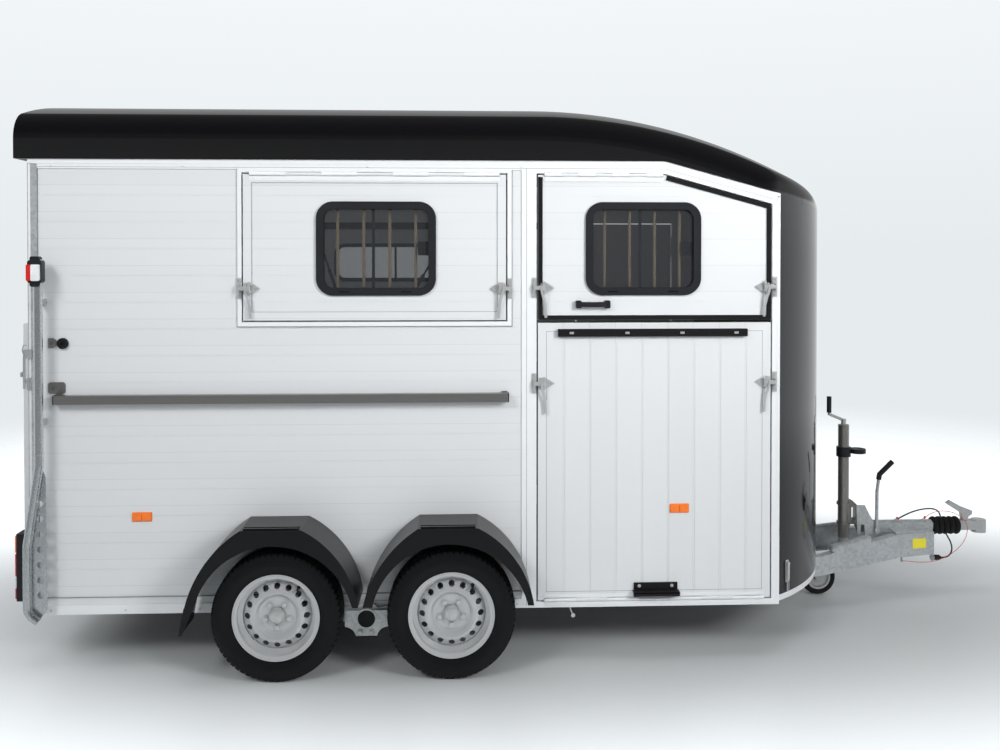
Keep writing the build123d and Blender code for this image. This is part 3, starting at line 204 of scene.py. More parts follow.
def gloss_finish(name, color, roughness=0.08, coat=0.3):
    """Moulded gel coat with a faint ripple."""
    finish = Finish(name, color, roughness)
    finish.shader.inputs["Coat Weight"].default_value = coat
    finish.shader.inputs["Coat Roughness"].default_value = 0.04
    haze = finish.noise(3.5, 4)
    finish.rough(haze, roughness * 0.8, roughness * 1.7)
    finish.bump(finish.noise(9, 1), 0.05, 0.004)
    return finish.material


def galvanised_finish(name, color, metallic=0.6, scale=75.0):
    """Hot-dip zinc: crystal spangle, dull patches and a soft uneven surface."""
    finish = Finish(name, color, 0.42, metallic)
    spangle = finish.node("ShaderNodeTexVoronoi", Scale=scale)
    finish.link(finish.position(), spangle.inputs["Vector"])
    grey = finish.node("ShaderNodeSeparateColor")
    finish.link(spangle.outputs["Color"], grey.inputs["Color"])
    blend = finish.sum_of(grey.outputs["Red"], 0.45, finish.noise(7, 5), 0.55)
    finish.tint(blend, 0.74, 1.28)
    finish.rough(blend, 0.34, 0.52)
    finish.bump(finish.noise(60, 3), 0.12, 0.0008)
    return finish.material


def metal_finish(name, color, roughness, metallic=0.9, grain=90, stretch=(1, 1, 1)):
    """Plated, cast or brushed metal, by the scale and stretch of its grain."""
    finish = Finish(name, color, roughness, metallic)
    fine = finish.noise(grain, 3, stretch)
    finish.tint(fine, 0.88, 1.10)
    finish.rough(fine, roughness * 0.8, roughness * 1.25)
    finish.bump(fine, 0.06, 0.0004)
    return finish.material


def matte_finish(name, color, roughness=0.6, grain=320, depth=0.15, metallic=0.0):
    """Moulded plastic, rubber or paint with a fine eroded texture."""
    finish = Finish(name, color, roughness, metallic)
    finish.shader.inputs["Specular IOR Level"].default_value = 0.35
    fine = finish.noise(grain, 3)
    finish.tint(finish.noise(6, 4), 0.85, 1.2)
    finish.rough(fine, roughness * 0.85, min(1.0, roughness * 1.2))
    finish.bump(fine, depth, 0.0005)
    return finish.material


def cloth_finish(name, color):
    """Coated tarpaulin: a coarse weave under a satin skin."""
    finish = Finish(name, color, 0.5)
    weave = finish.node("ShaderNodeTexWave", Scale=160.0, Distortion=0.4)
    finish.link(finish.position(), weave.inputs["Vector"])
    finish.tint(finish.noise(5, 3), 0.8, 1.3)
    finish.rough(weave.outputs["Fac"], 0.42, 0.6)
    finish.bump(finish.sum_of(weave.outputs["Fac"], 0.5, finish.noise(300, 2), 0.5), 0.2, 0.0006)
    return finish.material


def glass_finish(name, color):
    """Tinted acrylic: dark, clear enough to see the bars behind it."""
    finish = Finish(f"window_{name}", color, 0.03)
    finish.shader.inputs["Alpha"].default_value = 0.38
    finish.rough(finish.noise(3, 3), 0.02, 0.05)
    return finish.material


def lens_finish(name, color):
    """A moulded lens with small prisms behind a smooth face."""
    finish = Finish(name, color, 0.12)
    finish.shader.inputs["Coat Weight"].default_value = 0.6
    wave = finish.node("ShaderNodeTexVoronoi", Scale=260.0)
    finish.link(finish.position(), wave.inputs["Vector"])
    finish.bump(wave.outputs["Distance"], 0.35, 0.0012)
    finish.tint(finish.noise(30, 2), 0.85, 1.15)
    return finish.material


# Each finish's builder, its colour and what else the builder takes
FINISHES = {
    "planks_along": (plank_finish, PLANK, "x"),
    "planks_upright": (plank_finish, PLANK, "z"),
    "profile": (profile_finish, (0.84, 0.86, 0.87)),
    "black_skin": (gloss_finish, (0.004, 0.004, 0.0045)),
    "galvanised": (galvanised_finish, GALVANISED),
    "guard_tube": (metal_finish, GALVANISED, 0.26, 0.9, 40, (4, 4, 1)),
    "rubber": (matte_finish, (0.010, 0.010, 0.0105), 0.62),
    "plastic": (matte_finish, (0.016, 0.017, 0.020), 0.42),
    "fender": (matte_finish, (0.0038, 0.0045, 0.0052), 0.30, 420, 0.15),
    "tyre": (matte_finish, (0.006, 0.0065, 0.007), 0.70, 180, 0.2),
    "rim": (metal_finish, (0.62, 0.63, 0.64), 0.34, 0.5, 500),
    "zinc": (metal_finish, (0.66, 0.67, 0.67), 0.34, 0.60, 60),
    "steel": (metal_finish, (0.34, 0.33, 0.32), 0.36, 0.85, 60, (0.2, 3, 3)),
    "jockey": (metal_finish, (0.40, 0.39, 0.36), 0.34, 0.8, 60, (3, 3, 0.5)),
    "board": (matte_finish, (0.030, 0.026, 0.024), 0.7, 120, 0.3),
    "vinyl": (matte_finish, (0.016, 0.017, 0.019), 0.5, 240, 0.3),
    "glass": (glass_finish, (0.035, 0.038, 0.042)),
    "brass": (metal_finish, (0.80, 0.63, 0.43), 0.34, 0.35, 200),
    "amber": (lens_finish, (0.90, 0.19, 0.02)),
    "red": (lens_finish, (0.60, 0.012, 0.012)),
    "clear": (lens_finish, (0.75, 0.76, 0.76)),
    "cable": (matte_finish, (0.012, 0.012, 0.013), 0.4),
    "red_cable": (matte_finish, (0.55, 0.03, 0.02), 0.4),
    "label": (matte_finish, (0.85, 0.74, 0.05), 0.35, 200, 0.05),
    "plate": (matte_finish, (0.82, 0.82, 0.80), 0.35, 200, 0.05),
    "cloth": (cloth_finish, (0.030, 0.031, 0.034)),
    # dark grey of the painted shadow lines at the profiles' joints
    "seam": (matte_finish, (0.22, 0.23, 0.24), 0.6),
    "lining": (matte_finish, (0.20, 0.185, 0.165), 0.55, 90, 0.1),
}
MATERIALS = {name: build(name, *values) for name, (build, *values) in FINISHES.items()}

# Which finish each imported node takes, by the start of its name
NODE_FINISH = {
    "beam": "galvanised", "crossmembers": "galvanised", "pivot_tube": "galvanised", "swing_arms": "galvanised",
    "floor": "board", "roof": "black_skin", "nose": "black_skin", "frame": "profile", "wall": "planks_along",
    "rear_frame": "profile", "rear_sill": "galvanised", "fenders": "fender", "overrun_housing": "galvanised",
    "bellows": "rubber", "coupling_head": "zinc", "coupling_handle": "zinc", "brake_lever": "galvanised",
    "brake_grip": "plastic", "jockey_tube": "jockey", "jockey_crank": "zinc", "crank_grip": "plastic",
    "jockey_inner": "zinc", "jockey_fork": "zinc", "jockey_wheel": "rubber", "side_bar": "steel",
    "rear_tube": "guard_tube", "rear_lamps": "plastic", "hatch": "planks_along", "front_flap": "planks_along",
    "side_ramp": "planks_upright", "rear_ramp": "planks_upright", "groom_door": "planks_upright",
    "hatch_window": "plastic", "flap_window": "plastic", "far_window": "plastic", "hatch_glass": "glass",
    "flap_glass": "glass", "far_glass": "glass", "tyre": "tyre", "rim": "rim", "hub": "zinc",
    "partition": "galvanised", "lead": "cable", "lead_plug": "plastic", "breakaway_cable": "red_cable",
}
SMOOTH_BELOW = math.radians(30)


def finish_of(node):
    """The finish whose name is the longest start of the node's name."""
    starts = [key for key in NODE_FINISH if node.startswith(key)]
    return MATERIALS[NODE_FINISH[max(starts, key=len)]]


def dress_nodes():
    """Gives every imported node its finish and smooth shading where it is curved."""
    for name, piece in NODES.items():
        material = finish_of(name)
        piece.data.materials.clear()
        piece.data.materials.append(material)
        for polygon in piece.data.polygons:
            polygon.use_smooth = True
        smooth = piece.modifiers.new("edges", "EDGE_SPLIT")
        smooth.split_angle = SMOOTH_BELOW


dress_nodes()


def line_inside(name, centre):
    """Gives the faces of a shell that look at a point inside it the pale lining."""
    piece = NODES[name]
    piece.data.materials.append(MATERIALS["lining"])
    for polygon in piece.data.polygons:
        if polygon.normal.dot(polygon.center - centre) < 0:
            polygon.material_index = 1


line_inside("roof", at(0.0, 0.0, 1.9))
line_inside("nose", at(1.5, 0.0, 1.3))


# Cords: the control points of each line

LEAD_ROUTE = [
    (2.915, -0.020, 0.421), (2.950, -0.020, 0.441), (3.000, -0.017, 0.461), (3.055, -0.010, 0.473),
    (3.108, 0.002, 0.475), (3.158, 0.024, 0.464), (3.195, 0.052, 0.436), (3.212, 0.072, 0.392),
    (3.222, 0.070, 0.348), (3.234, 0.050, 0.311), (3.243, 0.020, 0.281), (3.240, -0.008, 0.250),
    (3.221, -0.030, 0.222), (3.187, -0.044, 0.206), (3.152, -0.050, 0.209),
]
LEAD_DIAMETER = 0.008
CABLE_ROUTE = [
    (2.911, -0.100, 0.209), (2.950, -0.098, 0.203), (3.000, -0.092, 0.197), (3.055, -0.086, 0.194),
    (3.108, -0.080, 0.198), (3.157, -0.074, 0.212), (3.200, -0.068, 0.231), (3.240, -0.062, 0.256),
    (3.274, -0.058, 0.288), (3.297, -0.055, 0.326), (3.306, -0.054, 0.370), (3.295, -0.054, 0.410),
    (3.265, -0.052, 0.442), (3.222, -0.050, 0.464), (3.172, -0.046, 0.473), (3.124, -0.038, 0.466),
    (3.088, -0.028, 0.446), (3.068, -0.020, 0.420),
]
CABLE_DIAMETER = 0.003


def cord_line(name, route, diameter, finish, body):
    """A round cord along a smooth line through its control points."""
    data = bpy.data.curves.new(name, "CURVE")
    data.dimensions = "3D"
    data.bevel_depth = diameter / 2
    data.bevel_resolution = 4
    data.resolution_u = 16
    spline = data.splines.new("NURBS")
    spline.points.add(len(route) - 1)
    for point, place in zip(spline.points, route):
        point.co = (*at(*place), 1.0)
    spline.order_u = 3
    spline.use_endpoint_u = True
    data.materials.append(MATERIALS[finish])
    piece = bpy.data.objects.new(name, data)
    bpy.context.scene.collection.objects.link(piece)
    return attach(piece, body)


lead = cord_line("electric_lead", LEAD_ROUTE, LEAD_DIAMETER, "cable", "root")
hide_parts("lead")
safety_cable = cord_line("safety_cable", CABLE_ROUTE, CABLE_DIAMETER, "red_cable", "root")
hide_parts("breakaway_cable")


# Mesh tools: each adds a shape to a mesh under construction


def make_piece(name, bm, finish, body):
    """Turns a finished mesh into a piece that rides on a body, smooth where it is curved."""
    bmesh.ops.recalc_face_normals(bm, faces=bm.faces)
    bmesh.ops.translate(bm, vec=(-ORIGIN_X, 0, 0), verts=bm.verts)
    for face in bm.faces:
        face.smooth = True
    for edge in bm.edges:
        edge.smooth = edge.calc_face_angle(0) < SMOOTH_BELOW
    mesh = bpy.data.meshes.new(name)
    bm.to_mesh(mesh)
    bm.free()
    mesh.materials.append(MATERIALS[finish])
    piece = bpy.data.objects.new(name, mesh)
    bpy.context.scene.collection.objects.link(piece)
    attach(piece, body)
    return piece


def prism(bm, outline, axis, start, end, bevel=0.0, segments=2):
    """An outline, given in the two other coordinates in order, carried along axis from start to end."""
    place = {"x": lambda a, b, t: (t, a, b), "y": lambda a, b, t: (a, t, b), "z": lambda a, b, t: (a, b, t)}[axis]
    near = [bm.verts.new(place(a, b, start)) for a, b in outline]
    far = [bm.verts.new(place(a, b, end)) for a, b in outline]
    faces = [bm.faces.new(near), bm.faces.new(far[::-1])]
    for i, (a, b) in enumerate(zip(near, far)):
        faces.append(bm.faces.new([a, b, far[i - 1], near[i - 1]]))
    if bevel:
        edges = {edge for face in faces for edge in face.edges}
        bmesh.ops.recalc_face_normals(bm, faces=faces)
        bmesh.ops.bevel(bm, geom=list(edges), offset=bevel, segments=segments, profile=0.6, affect="EDGES",
                        clamp_overlap=True)


def block(bm, low, high, bevel=0.0, segments=2):
    """A block between two corners with rounded edges."""
    (x0, y0, z0), (x1, y1, z1) = low, high
    prism(bm, [(x0, z0), (x1, z0), (x1, z1), (x0, z1)], "y", y0, y1, bevel, segments)


def rounded(a0, a1, b0, b1, radius, steps=5):
    """Points of a rounded rectangle."""
    corners = [(a1 - radius, b0 + radius, -90), (a1 - radius, b1 - radius, 0), (a0 + radius, b1 - radius, 90),
               (a0 + radius, b0 + radius, 180)]
    points = []
    for a, b, first in corners:
        for i in range(steps + 1):
            turn = math.radians(first + 90 * i / steps)
            points.append((a + radius * math.cos(turn), b + radius * math.sin(turn)))
    return points


def band(bm, a, b):
    """Faces between two rings of as many points."""
    for i in range(len(a)):
        bm.faces.new([a[i], a[i - 1], b[i - 1], b[i]])


def neighbours(rings, closed):
    """Each ring with the next, and the last with the first where the row is closed."""
    return list(zip(rings, rings[1:])) + ([(rings[-1], rings[0])] if closed else [])


def turned(bm, profile, centre, direction, steps=20, closed=False):
    """A profile of radius and place along, turned round a direction at centre."""
    turn = Vector((0, 0, 1)).rotation_difference(Vector(direction)).to_matrix()
    rings = []
    for radius, along in profile:
        if radius < 1e-6:
            rings.append([bm.verts.new(Vector(centre) + turn @ Vector((0, 0, along)))])
            continue
        ring = []
        for i in range(steps):
            angle = 2 * math.pi * i / steps
            offset = Vector((radius * math.cos(angle), radius * math.sin(angle), along))
            ring.append(bm.verts.new(Vector(centre) + turn @ offset))
        rings.append(ring)
    for a, b in neighbours(rings, closed):
        if len(a) == 1:
            for i in range(steps):
                bm.faces.new([a[0], b[i], b[i - 1]])
        elif len(b) == 1:
            for i in range(steps):
                bm.faces.new([a[i], a[i - 1], b[0]])
        else:
            band(bm, a, b)
    if not closed:
        for ring in (rings[0], rings[-1]):
            if len(ring) > 1:
                bm.faces.new(ring)


def skin(bm, rings, closed=False):
    """Joins rings of points one to the next, and caps the two ends or joins them too."""
    for a, b in neighbours(rings, closed):
        band(bm, a, b)
    if not closed:
        bm.faces.new(rings[0])
        bm.faces.new(rings[-1][::-1])


def swept(bm, section, path, outward, closed=False):
    """A section of (across, out) points carried along a flat path with mitred corners; out lies along outward."""
    out = Vector(outward).normalized()
    points = [Vector(p) for p in path]
    last = len(points) - 1
    rings = []
    for i, point in enumerate(points):
        back = (point - points[i - 1]).normalized() if closed or i else None
        ahead = (points[(i + 1) % len(points)] - point).normalized() if closed or i < last else None
        back = back or ahead
        ahead = ahead or back
        side = out.cross((back + ahead).normalized())
        side /= max(0.3, side.dot(out.cross(ahead)))
        rings.append([bm.verts.new(point + side * a + out * b) for a, b in section])
    skin(bm, rings, closed)


def wire(bm, path, radius, steps=8):
    """A round wire along a list of points, its ring turned with the way at each."""
    points = [Vector(p) for p in path]
    ring_before = None
    normal = None
    for i, point in enumerate(points):
        way = (points[min(i + 1, len(points) - 1)] - points[max(i - 1, 0)]).normalized()
        if normal is None:
            normal = way.orthogonal().normalized()
        normal = (normal - way * normal.dot(way)).normalized()
        across = way.cross(normal)
        ring = []
        for k in range(steps):
            angle = 2 * math.pi * k / steps
            ring.append(bm.verts.new(point + (normal * math.cos(angle) + across * math.sin(angle)) * radius))
        if ring_before:
            band(bm, ring_before, ring)
        else:
            bm.faces.new(ring)
        ring_before = ring
    bm.faces.new(ring_before[::-1])


def side_span(way, near, far):
    """The span from near to far on one side, lower Y first."""
    return sorted((way * near, way * far))


def strip(half, low, high):
    """The section of a flat strip, half its width and from low to high outwards."""
    return [(-half, low), (-half, high), (half, high), (half, low)]


def rod(radius, low, high):
    """The profile of a full round rod."""
    return [(0, low), (radius, low), (radius, high), (0, high)]


def sleeve(inner, outer, low, high):
    """The profile of a ring, from its inner to its outer radius."""
    return [(inner, low), (outer, low), (outer, high), (inner, high)]


def side_plate(bm, way, box, near, far, bevel, segments=2):
    """A rounded plate on one side, from near to far out from the trailer's middle."""
    prism(bm, rounded(*box), "y", way * near, way * far, bevel, segments)


def tail_plate(bm, box, near, far, bevel, segments=2):
    """A rounded plate behind the rear ramp's outer face, from near to far."""
    prism(bm, rounded(*box), "x", TAIL_X - near, TAIL_X - far, bevel, segments)


def screw(bm, centre, direction, radius=0.0045):
    """A low round head with a driver's recess."""
    r = radius
    profile = [(0, 0.15 * r), (0.28 * r, 0.15 * r), (0.34 * r, 0.62 * r), (0.7 * r, 0.55 * r), (0.92 * r, 0.3 * r),
               (r, -0.1 * r)]
    turned(bm, profile, centre, direction, 12)


def bolt(bm, centre, direction, radius):
    """A hexagon head with its washer."""
    r = radius
    turned(bm, [(1.25 * r, -0.001), (1.25 * r, 0.12 * r), (0.9 * r, 0.16 * r)], centre, direction, 16)
    turned(bm, [(r, 0.1 * r), (r, 0.7 * r), (0.86 * r, 0.82 * r), (0, 0.82 * r)], centre, direction, 6)


# Right side: latches, hinges, seals, windows


HATCH = {"x0": -0.575, "x1": 0.648, "z0": 1.611, "z1": 2.293}
FLAP = {"x0": 0.799, "x1": 1.909, "z0": 1.611, "z1": 2.293}
RAMP = {"x0": 0.799, "x1": 1.909, "z0": 0.285, "z1": 1.597}
GAP = 0.007
SLOPE_START_X = 1.401
SLOPE = math.tan(math.radians(15.2))
WALL_TOP_Z = 2.359
OUT = {"right": (0, -1, 0), "left": (0, 1, 0), "rear": (-1, 0, 0)}
UP = (0, 0, 1)
PANELS = {"side_hatch": HATCH, "upper_flap": FLAP, "front_ramp": RAMP}
# body, with the height of the latch at the panel's first X (1) and at its last (-1)
LATCHES = {
    "side_hatch": {1: 1.761, -1: 1.759}, "upper_flap": {1: 1.762, -1: 1.766}, "front_ramp": {1: 1.312, -1: 1.314},
}
KEEPER = {"width": 0.022, "height": 0.096, "thickness": 0.003}
HOOK_OUT = 0.013
# how far out the latch's hanging lever stands and how wide it is, from its top down
LEVER = [(0.027, 0.010), (0.029, 0.013), (0.021, 0.015), (0.013, 0.016), (0.015, 0.013)]


def wall_top(x, drop=0.0):
    return WALL_TOP_Z - drop - max(0.0, x - SLOPE_START_X) * SLOPE


def keeper(bm, x, z, way):
    """The slotted plate on the frame with its two screws and the bent hook that the latch draws on."""
    centre = x - way * (GAP + 0.012)
    half = KEEPER["width"] / 2
    tall = KEEPER["height"] / 2
    face = -FACE_Y
    out = face - KEEPER["thickness"]
    prism(bm, rounded(centre - half, centre + half, z - tall, z + tall, 0.004), "y", face, out, 0.0008)
    prism(bm, rounded(centre - 0.007, centre + 0.007, z - 0.021, z + 0.021, 0.004), "y", out, out - 0.006, 0.0015)
    block(bm, (centre - 0.004, out - 0.019, z - 0.017), (centre + 0.004, out - 0.004, z + 0.017), 0.002)
    for dz in (-0.036, 0.036):
        screw(bm, (centre, out, z + dz), OUT["right"], 0.005)


def latch(bm, x, z, way):
    """Base plate, toggle with its claw over the gap, and the hanging lever."""
    face = -FACE_Y

    def reach(d):
        return x + way * d

    def placed(*points):
        return [(reach(d), z + up) for d, up in points]

    base = placed((0.004, -0.028), (0.004, 0.026), (0.030, 0.030), (0.066, 0.009), (0.078, 0), (0.066, -0.009),
                  (0.030, -0.032))
    prism(bm, base, "y", face, face - 0.004, 0.0012)
    for dx, dz in ((0.014, 0.018), (0.018, -0.022), (0.062, 0.0)):
        screw(bm, (reach(dx), face - 0.004, z + dz), OUT["right"], 0.0045)
    x0, x1 = sorted((reach(0.012), reach(0.040)))
    for dz in (-0.017, 0.013):
        block(bm, (x0, face - 0.024, z + dz), (x1, face - 0.003, z + dz + 0.004), 0.0014)
    turned(bm, rod(0.006, -0.021, 0.021), (reach(0.030), face - 0.016, z), UP, 12)
    claw = placed((0.034, -0.010), (0.034, 0.012), (0.006, 0.012), (-0.021, 0.008), (-0.024, -0.001), (-0.014, -0.007),
                  (0.004, -0.010))
    prism(bm, claw, "y", face - HOOK_OUT - 0.011, face - HOOK_OUT - 0.006, 0.001)
    path = placed((0.012, 0.004), (0.017, -0.024), (0.026, -0.052), (0.033, -0.090), (0.036, -0.142))
    rings = []
    for (px, pz), (d, w) in zip(path, LEVER):
        rings.append([bm.verts.new((px + dx * w / 2, face - d + dy * 0.0028, pz + 0.002 * abs(dx)))
                      for dx, dy in ((-1, 1), (-0.8, -1), (0.8, -1), (1, 1))])
    skin(bm, rings)
    loop = []
    for i in range(13):
        angle = math.radians(200 - 17 * i)
        loop.append((reach(0.004) + way * 0.024 * math.cos(angle), face - 0.021, z - 0.026 + 0.030 * math.sin(angle)))
    wire(bm, loop, 0.0022)


def make_latches():
    keepers = bmesh.new()
    for body, heights in LATCHES.items():
        bm = bmesh.new()
        for way, z in heights.items():
            x = PANELS[body]["x0" if way > 0 else "x1"]
            latch(bm, x, z, way)
            keeper(keepers, x, z, way)
        make_piece(f"latches_{body}", bm, "zinc", body)
    make_piece("latch_keepers", keepers, "zinc", "root")


# body of the leaf, first and last X, lower and upper Z, height of the screws, their number
LEAVES = [
    ("root", -0.560, 0.636, 2.3035, 2.3185, 2.312, 5), ("side_hatch", -0.545, 0.618, 2.262, 2.283, 2.271, 5),
    ("root", 0.829, 1.391, 2.3035, 2.3185, 2.312, 3), ("upper_flap", 0.829, 1.391, 2.262, 2.283, 2.271, 3),
    ("root", 0.829, 1.879, 0.2595, 0.2755, 0.266, 5), ("front_ramp", 0.829, 1.879, 0.296, 0.312, 0.306, 5),
]


def make_leaves():
    """The hinges' leaves with their screws."""
    for body in ("root", *PANELS):
        bm = bmesh.new()
        for owner, x0, x1, z0, z1, z, count in LEAVES:
            if owner != body:
                continue
            prism(bm, [(x0, z0), (x1, z0), (x1, z1), (x0, z1)], "y", -FACE_Y, -FACE_Y - 0.0018, 0.0006, 1)
            for i in range(count):
                screw(bm, (x0 + 0.02 + (x1 - x0 - 0.04) * i / (count - 1), -FACE_Y - 0.0018, z), OUT["right"], 0.0038)
        make_piece(f"hinge_leaves_{body}", bm, "profile", body)


SEAL = [(-0.0105, 0.0), (-0.0105, 0.0035), (-0.006, 0.006), (0.006, 0.006), (0.0105, 0.0035), (0.0105, 0.0)]


def make_flap_seal():
    """The rubber seal on the border of the front flap, open along the hinge."""
    inset = 0.011
    x0, x1 = FLAP["x0"] + inset, FLAP["x1"] - inset
    z0 = FLAP["z0"] + inset
    drop = WALL_TOP_Z - FLAP["z1"] + inset
    path = [(x0, FLAP["z1"] - 0.010), (x0, z0), (x1, z0), (x1, wall_top(x1, drop)),
            (SLOPE_START_X + 0.006, wall_top(SLOPE_START_X + 0.006, drop))]
    bm = bmesh.new()
    swept(bm, SEAL, [(x, -FACE_Y, z) for x, z in path], OUT["right"])
    make_piece("flap_seal", bm, "rubber", "upper_flap")


def make_gap_seals():
    """Dark rubber lips down in the gaps round the hatch and the front ramp."""
    for name, body, panel in (("hatch_gap_seal", "side_hatch", HATCH), ("ramp_gap_seal", "front_ramp", RAMP)):
        bm = bmesh.new()
        lip = strip(0.002, 0.0, 0.009)
        x0, x1, z0, z1 = panel["x0"] - 0.002, panel["x1"] + 0.002, panel["z0"], panel["z1"]
        y = -FACE_Y + 0.022
        far, near = (z0 - 0.002, z1 - 0.02) if body == "side_hatch" else (z1 + 0.002, z0 + 0.02)
        swept(bm, lip, [(x0, y, near), (x0, y, far), (x1, y, far), (x1, y, near)], OUT["right"])
        make_piece(name, bm, "rubber", body)


# name, body, black frame's corners, Y of the face that it stands on, whether it has bars
WINDOWS = [
    ("hatch", "side_hatch", (-0.238, 0.320, 1.727, 2.166), -FACE_Y, True),
    ("flap", "upper_flap", (1.024, 1.572, 1.727, 2.166), -FACE_Y, True),
    ("far", "root", (-0.374, 0.455, 1.741, 2.009), WALL_Y, False),
]
WINDOW_FRAME = 0.035


def make_window_fittings():
    """Divider, catch, drain covers, the glass's rubber bead and, on the right side, sleeves on the bars."""
    for name, body, (x0, x1, z0, z1), y, barred in WINDOWS:
        way = 1 if y < 0 else -1
        black = bmesh.new()
        middle = (x0 + x1) / 2 - 0.014
        inner = WINDOW_FRAME
        a, b = sorted((y + way * 0.011, y + way * 0.020))
        block(black, (middle - 0.007, a, z0 + inner - 0.004), (middle + 0.007, b, z1 - inner + 0.004), 0.002)
        catch = (x1 - 0.086, x1 - 0.020, (z0 + z1) / 2 - 0.032, (z0 + z1) / 2 + 0.034)
        a, b = sorted((y + way * 0.012, y + way * 0.030))
        prism(black, rounded(*catch, 0.008), "y", a, b, 0.002)
        for i in range(3):
            x = catch[0] + 0.012 + 0.014 * i
            prism(black, rounded(x, x + 0.008, catch[2] + 0.008, catch[3] - 0.008, 0.003),
                  "y", y + way * 0.010, y + way * 0.014, 0.001)
        make_piece(f"{name}_window_catch", black, "plastic", body)
        drains = bmesh.new()
        for share in (0.235, 0.755):
            x = x0 + (x1 - x0) * share
            face = y - way * 0.008
            prism(drains, rounded(x - 0.025, x + 0.025, z0 + 0.014, z0 + 0.021, 0.003), "y", face, face - way * 0.0012,
                  0.0004, 1)
        make_piece(f"{name}_window_drains", drains, "black_skin", body)
        rubber = bmesh.new()
        edge = rounded(x0 + inner - 0.001, x1 - inner + 0.001, z0 + inner - 0.001, z1 - inner + 0.001, 0.045, 8)
        swept(rubber, strip(0.002, -0.006, 0.001), [(px, y, pz) for px, pz in edge], (0, -way, 0), closed=True)
        make_piece(f"{name}_window_bead", rubber, "rubber", body)
        if barred:
            bars = bmesh.new()
            span = x1 - x0 - 2 * inner
            for i in range(4):
                x = x0 + inner + span * (i + 0.5) / 4
                foot, top = z0 + inner + 0.002, z1 - inner - 0.002
                profile = [(0.0066, foot), (0.0072, foot + 0.002), (0.0072, top - 0.002), (0.0066, top)]
                turned(bars, profile, (x, y + PANEL_DEPTH + 0.004, 0), UP, 14)
            make_piece(f"{name}_window_bars", bars, "brass", body)


def make_flap_handle():
    """The black grab handle on the front flap."""
    bm = bmesh.new()
    x0, x1, z = 0.977, 1.139, 1.684
    face = -FIELD_Y
    for x in (x0 + 0.013, x1 - 0.013):
        prism(bm, rounded(x - 0.013, x + 0.013, z - 0.0185, z + 0.0185, 0.006), "y", face, face - 0.024, 0.004)
        screw(bm, (x, face - 0.024, z), OUT["right"], 0.005)
    path = [(x0 + 0.010, face - 0.014, z), (x0 + 0.032, face - 0.026, z), ((x0 + x1) / 2, face - 0.029, z),
            (x1 - 0.032, face - 0.026, z), (x1 - 0.010, face - 0.014, z)]
    grip = [(-0.012, -0.005), (-0.012, 0.003), (-0.008, 0.006), (0.008, 0.006), (0.012, 0.003), (0.012, -0.005)]
    skin(bm, [[bm.verts.new((px, py - out, pz + across)) for across, out in grip] for px, py, pz in path])
    make_piece("flap_handle", bm, "plastic", "upper_flap")


# The black pieces of the front ramp, over the solid ones
BUMPER = {"x0": 0.894, "x1": 1.791, "y": -0.902, "z0": 1.534, "z1": 1.567}
STEP = {"x0": 1.250, "x1": 1.466, "z0": 0.299, "z1": 0.363, "tread_y": -0.922, "tread_z0": 0.321, "tread_z1": 0.329}
COVER = 0.0015


def make_ramp_fittings():
    """Rubber bar and step of the front ramp, with their screws."""
    bm = bmesh.new()
    b = BUMPER
    low = (b["x0"] - COVER, b["y"] - COVER, b["z0"] - COVER)
    high = (b["x1"] + COVER, -FACE_Y, b["z1"] + COVER)
    block(bm, low, high, 0.0028)
    for z in (b["z0"] + 0.008, b["z1"] - 0.008):
        block(bm, (b["x0"], b["y"] - COVER - 0.002, z - 0.003), (b["x1"], b["y"], z + 0.003), 0.0014)
    make_piece("ramp_rubber_bar", bm, "rubber", "front_ramp")
    screws = bmesh.new()
    for x in (0.956, 1.219, 1.480, 1.738):
        turned(screws, [(0.0105, 0.0), (0.0105, 0.0008), (0, 0.0008)], (x, b["y"] - COVER, 1.5505), OUT["right"], 16)
        bolt(screws, (x, b["y"] - COVER, 1.5505), OUT["right"], 0.0058)
    step = bmesh.new()
    s = STEP
    block(step, (s["x0"] - COVER + 0.004, -FACE_Y - 0.006 - COVER, s["z0"] - COVER),
          (s["x1"] + COVER - 0.004, -FACE_Y, s["z1"] + COVER), 0.0028)
    block(step, (s["x0"] - COVER, s["tread_y"] - COVER, s["tread_z0"] - COVER),
          (s["x1"] + COVER, -FACE_Y, s["tread_z1"] + COVER), 0.0028)
    block(step, (s["x0"] - COVER, s["tread_y"] - COVER, s["tread_z0"] - 0.012),
          (s["x1"] + COVER, s["tread_y"] + 0.004, s["tread_z1"]), 0.002)
    for i in range(13):
        x = s["x0"] + 0.012 + 0.016 * i
        low = (x - 0.002, s["tread_y"] + 0.004, s["tread_z1"])
        block(step, low, (x + 0.002, -FACE_Y - 0.010, s["tread_z1"] + 0.004), 0.001, 1)
    make_piece("ramp_step", step, "rubber", "front_ramp")
    for x in (s["x0"] + 0.030, s["x1"] - 0.030):
        bolt(screws, (x, -FACE_Y - 0.006 - COVER, s["z1"] - 0.014), OUT["right"], 0.0065)
    make_piece("ramp_screws", screws, "zinc", "front_ramp")


# name, body, centre X and Z, side, face's distance from the middle
REFLECTORS = [
    ("rear_right", "root", -1.0435, 0.7005, "right", WALL_Y),
    ("front_right", "front_ramp", 1.4715, 0.715, "right", FACE_Y),
    ("rear_left", "root", -1.0435, 0.7005, "left", WALL_Y),
    ("front_left", "root", 0.960, 0.7005, "left", WALL_Y),
]


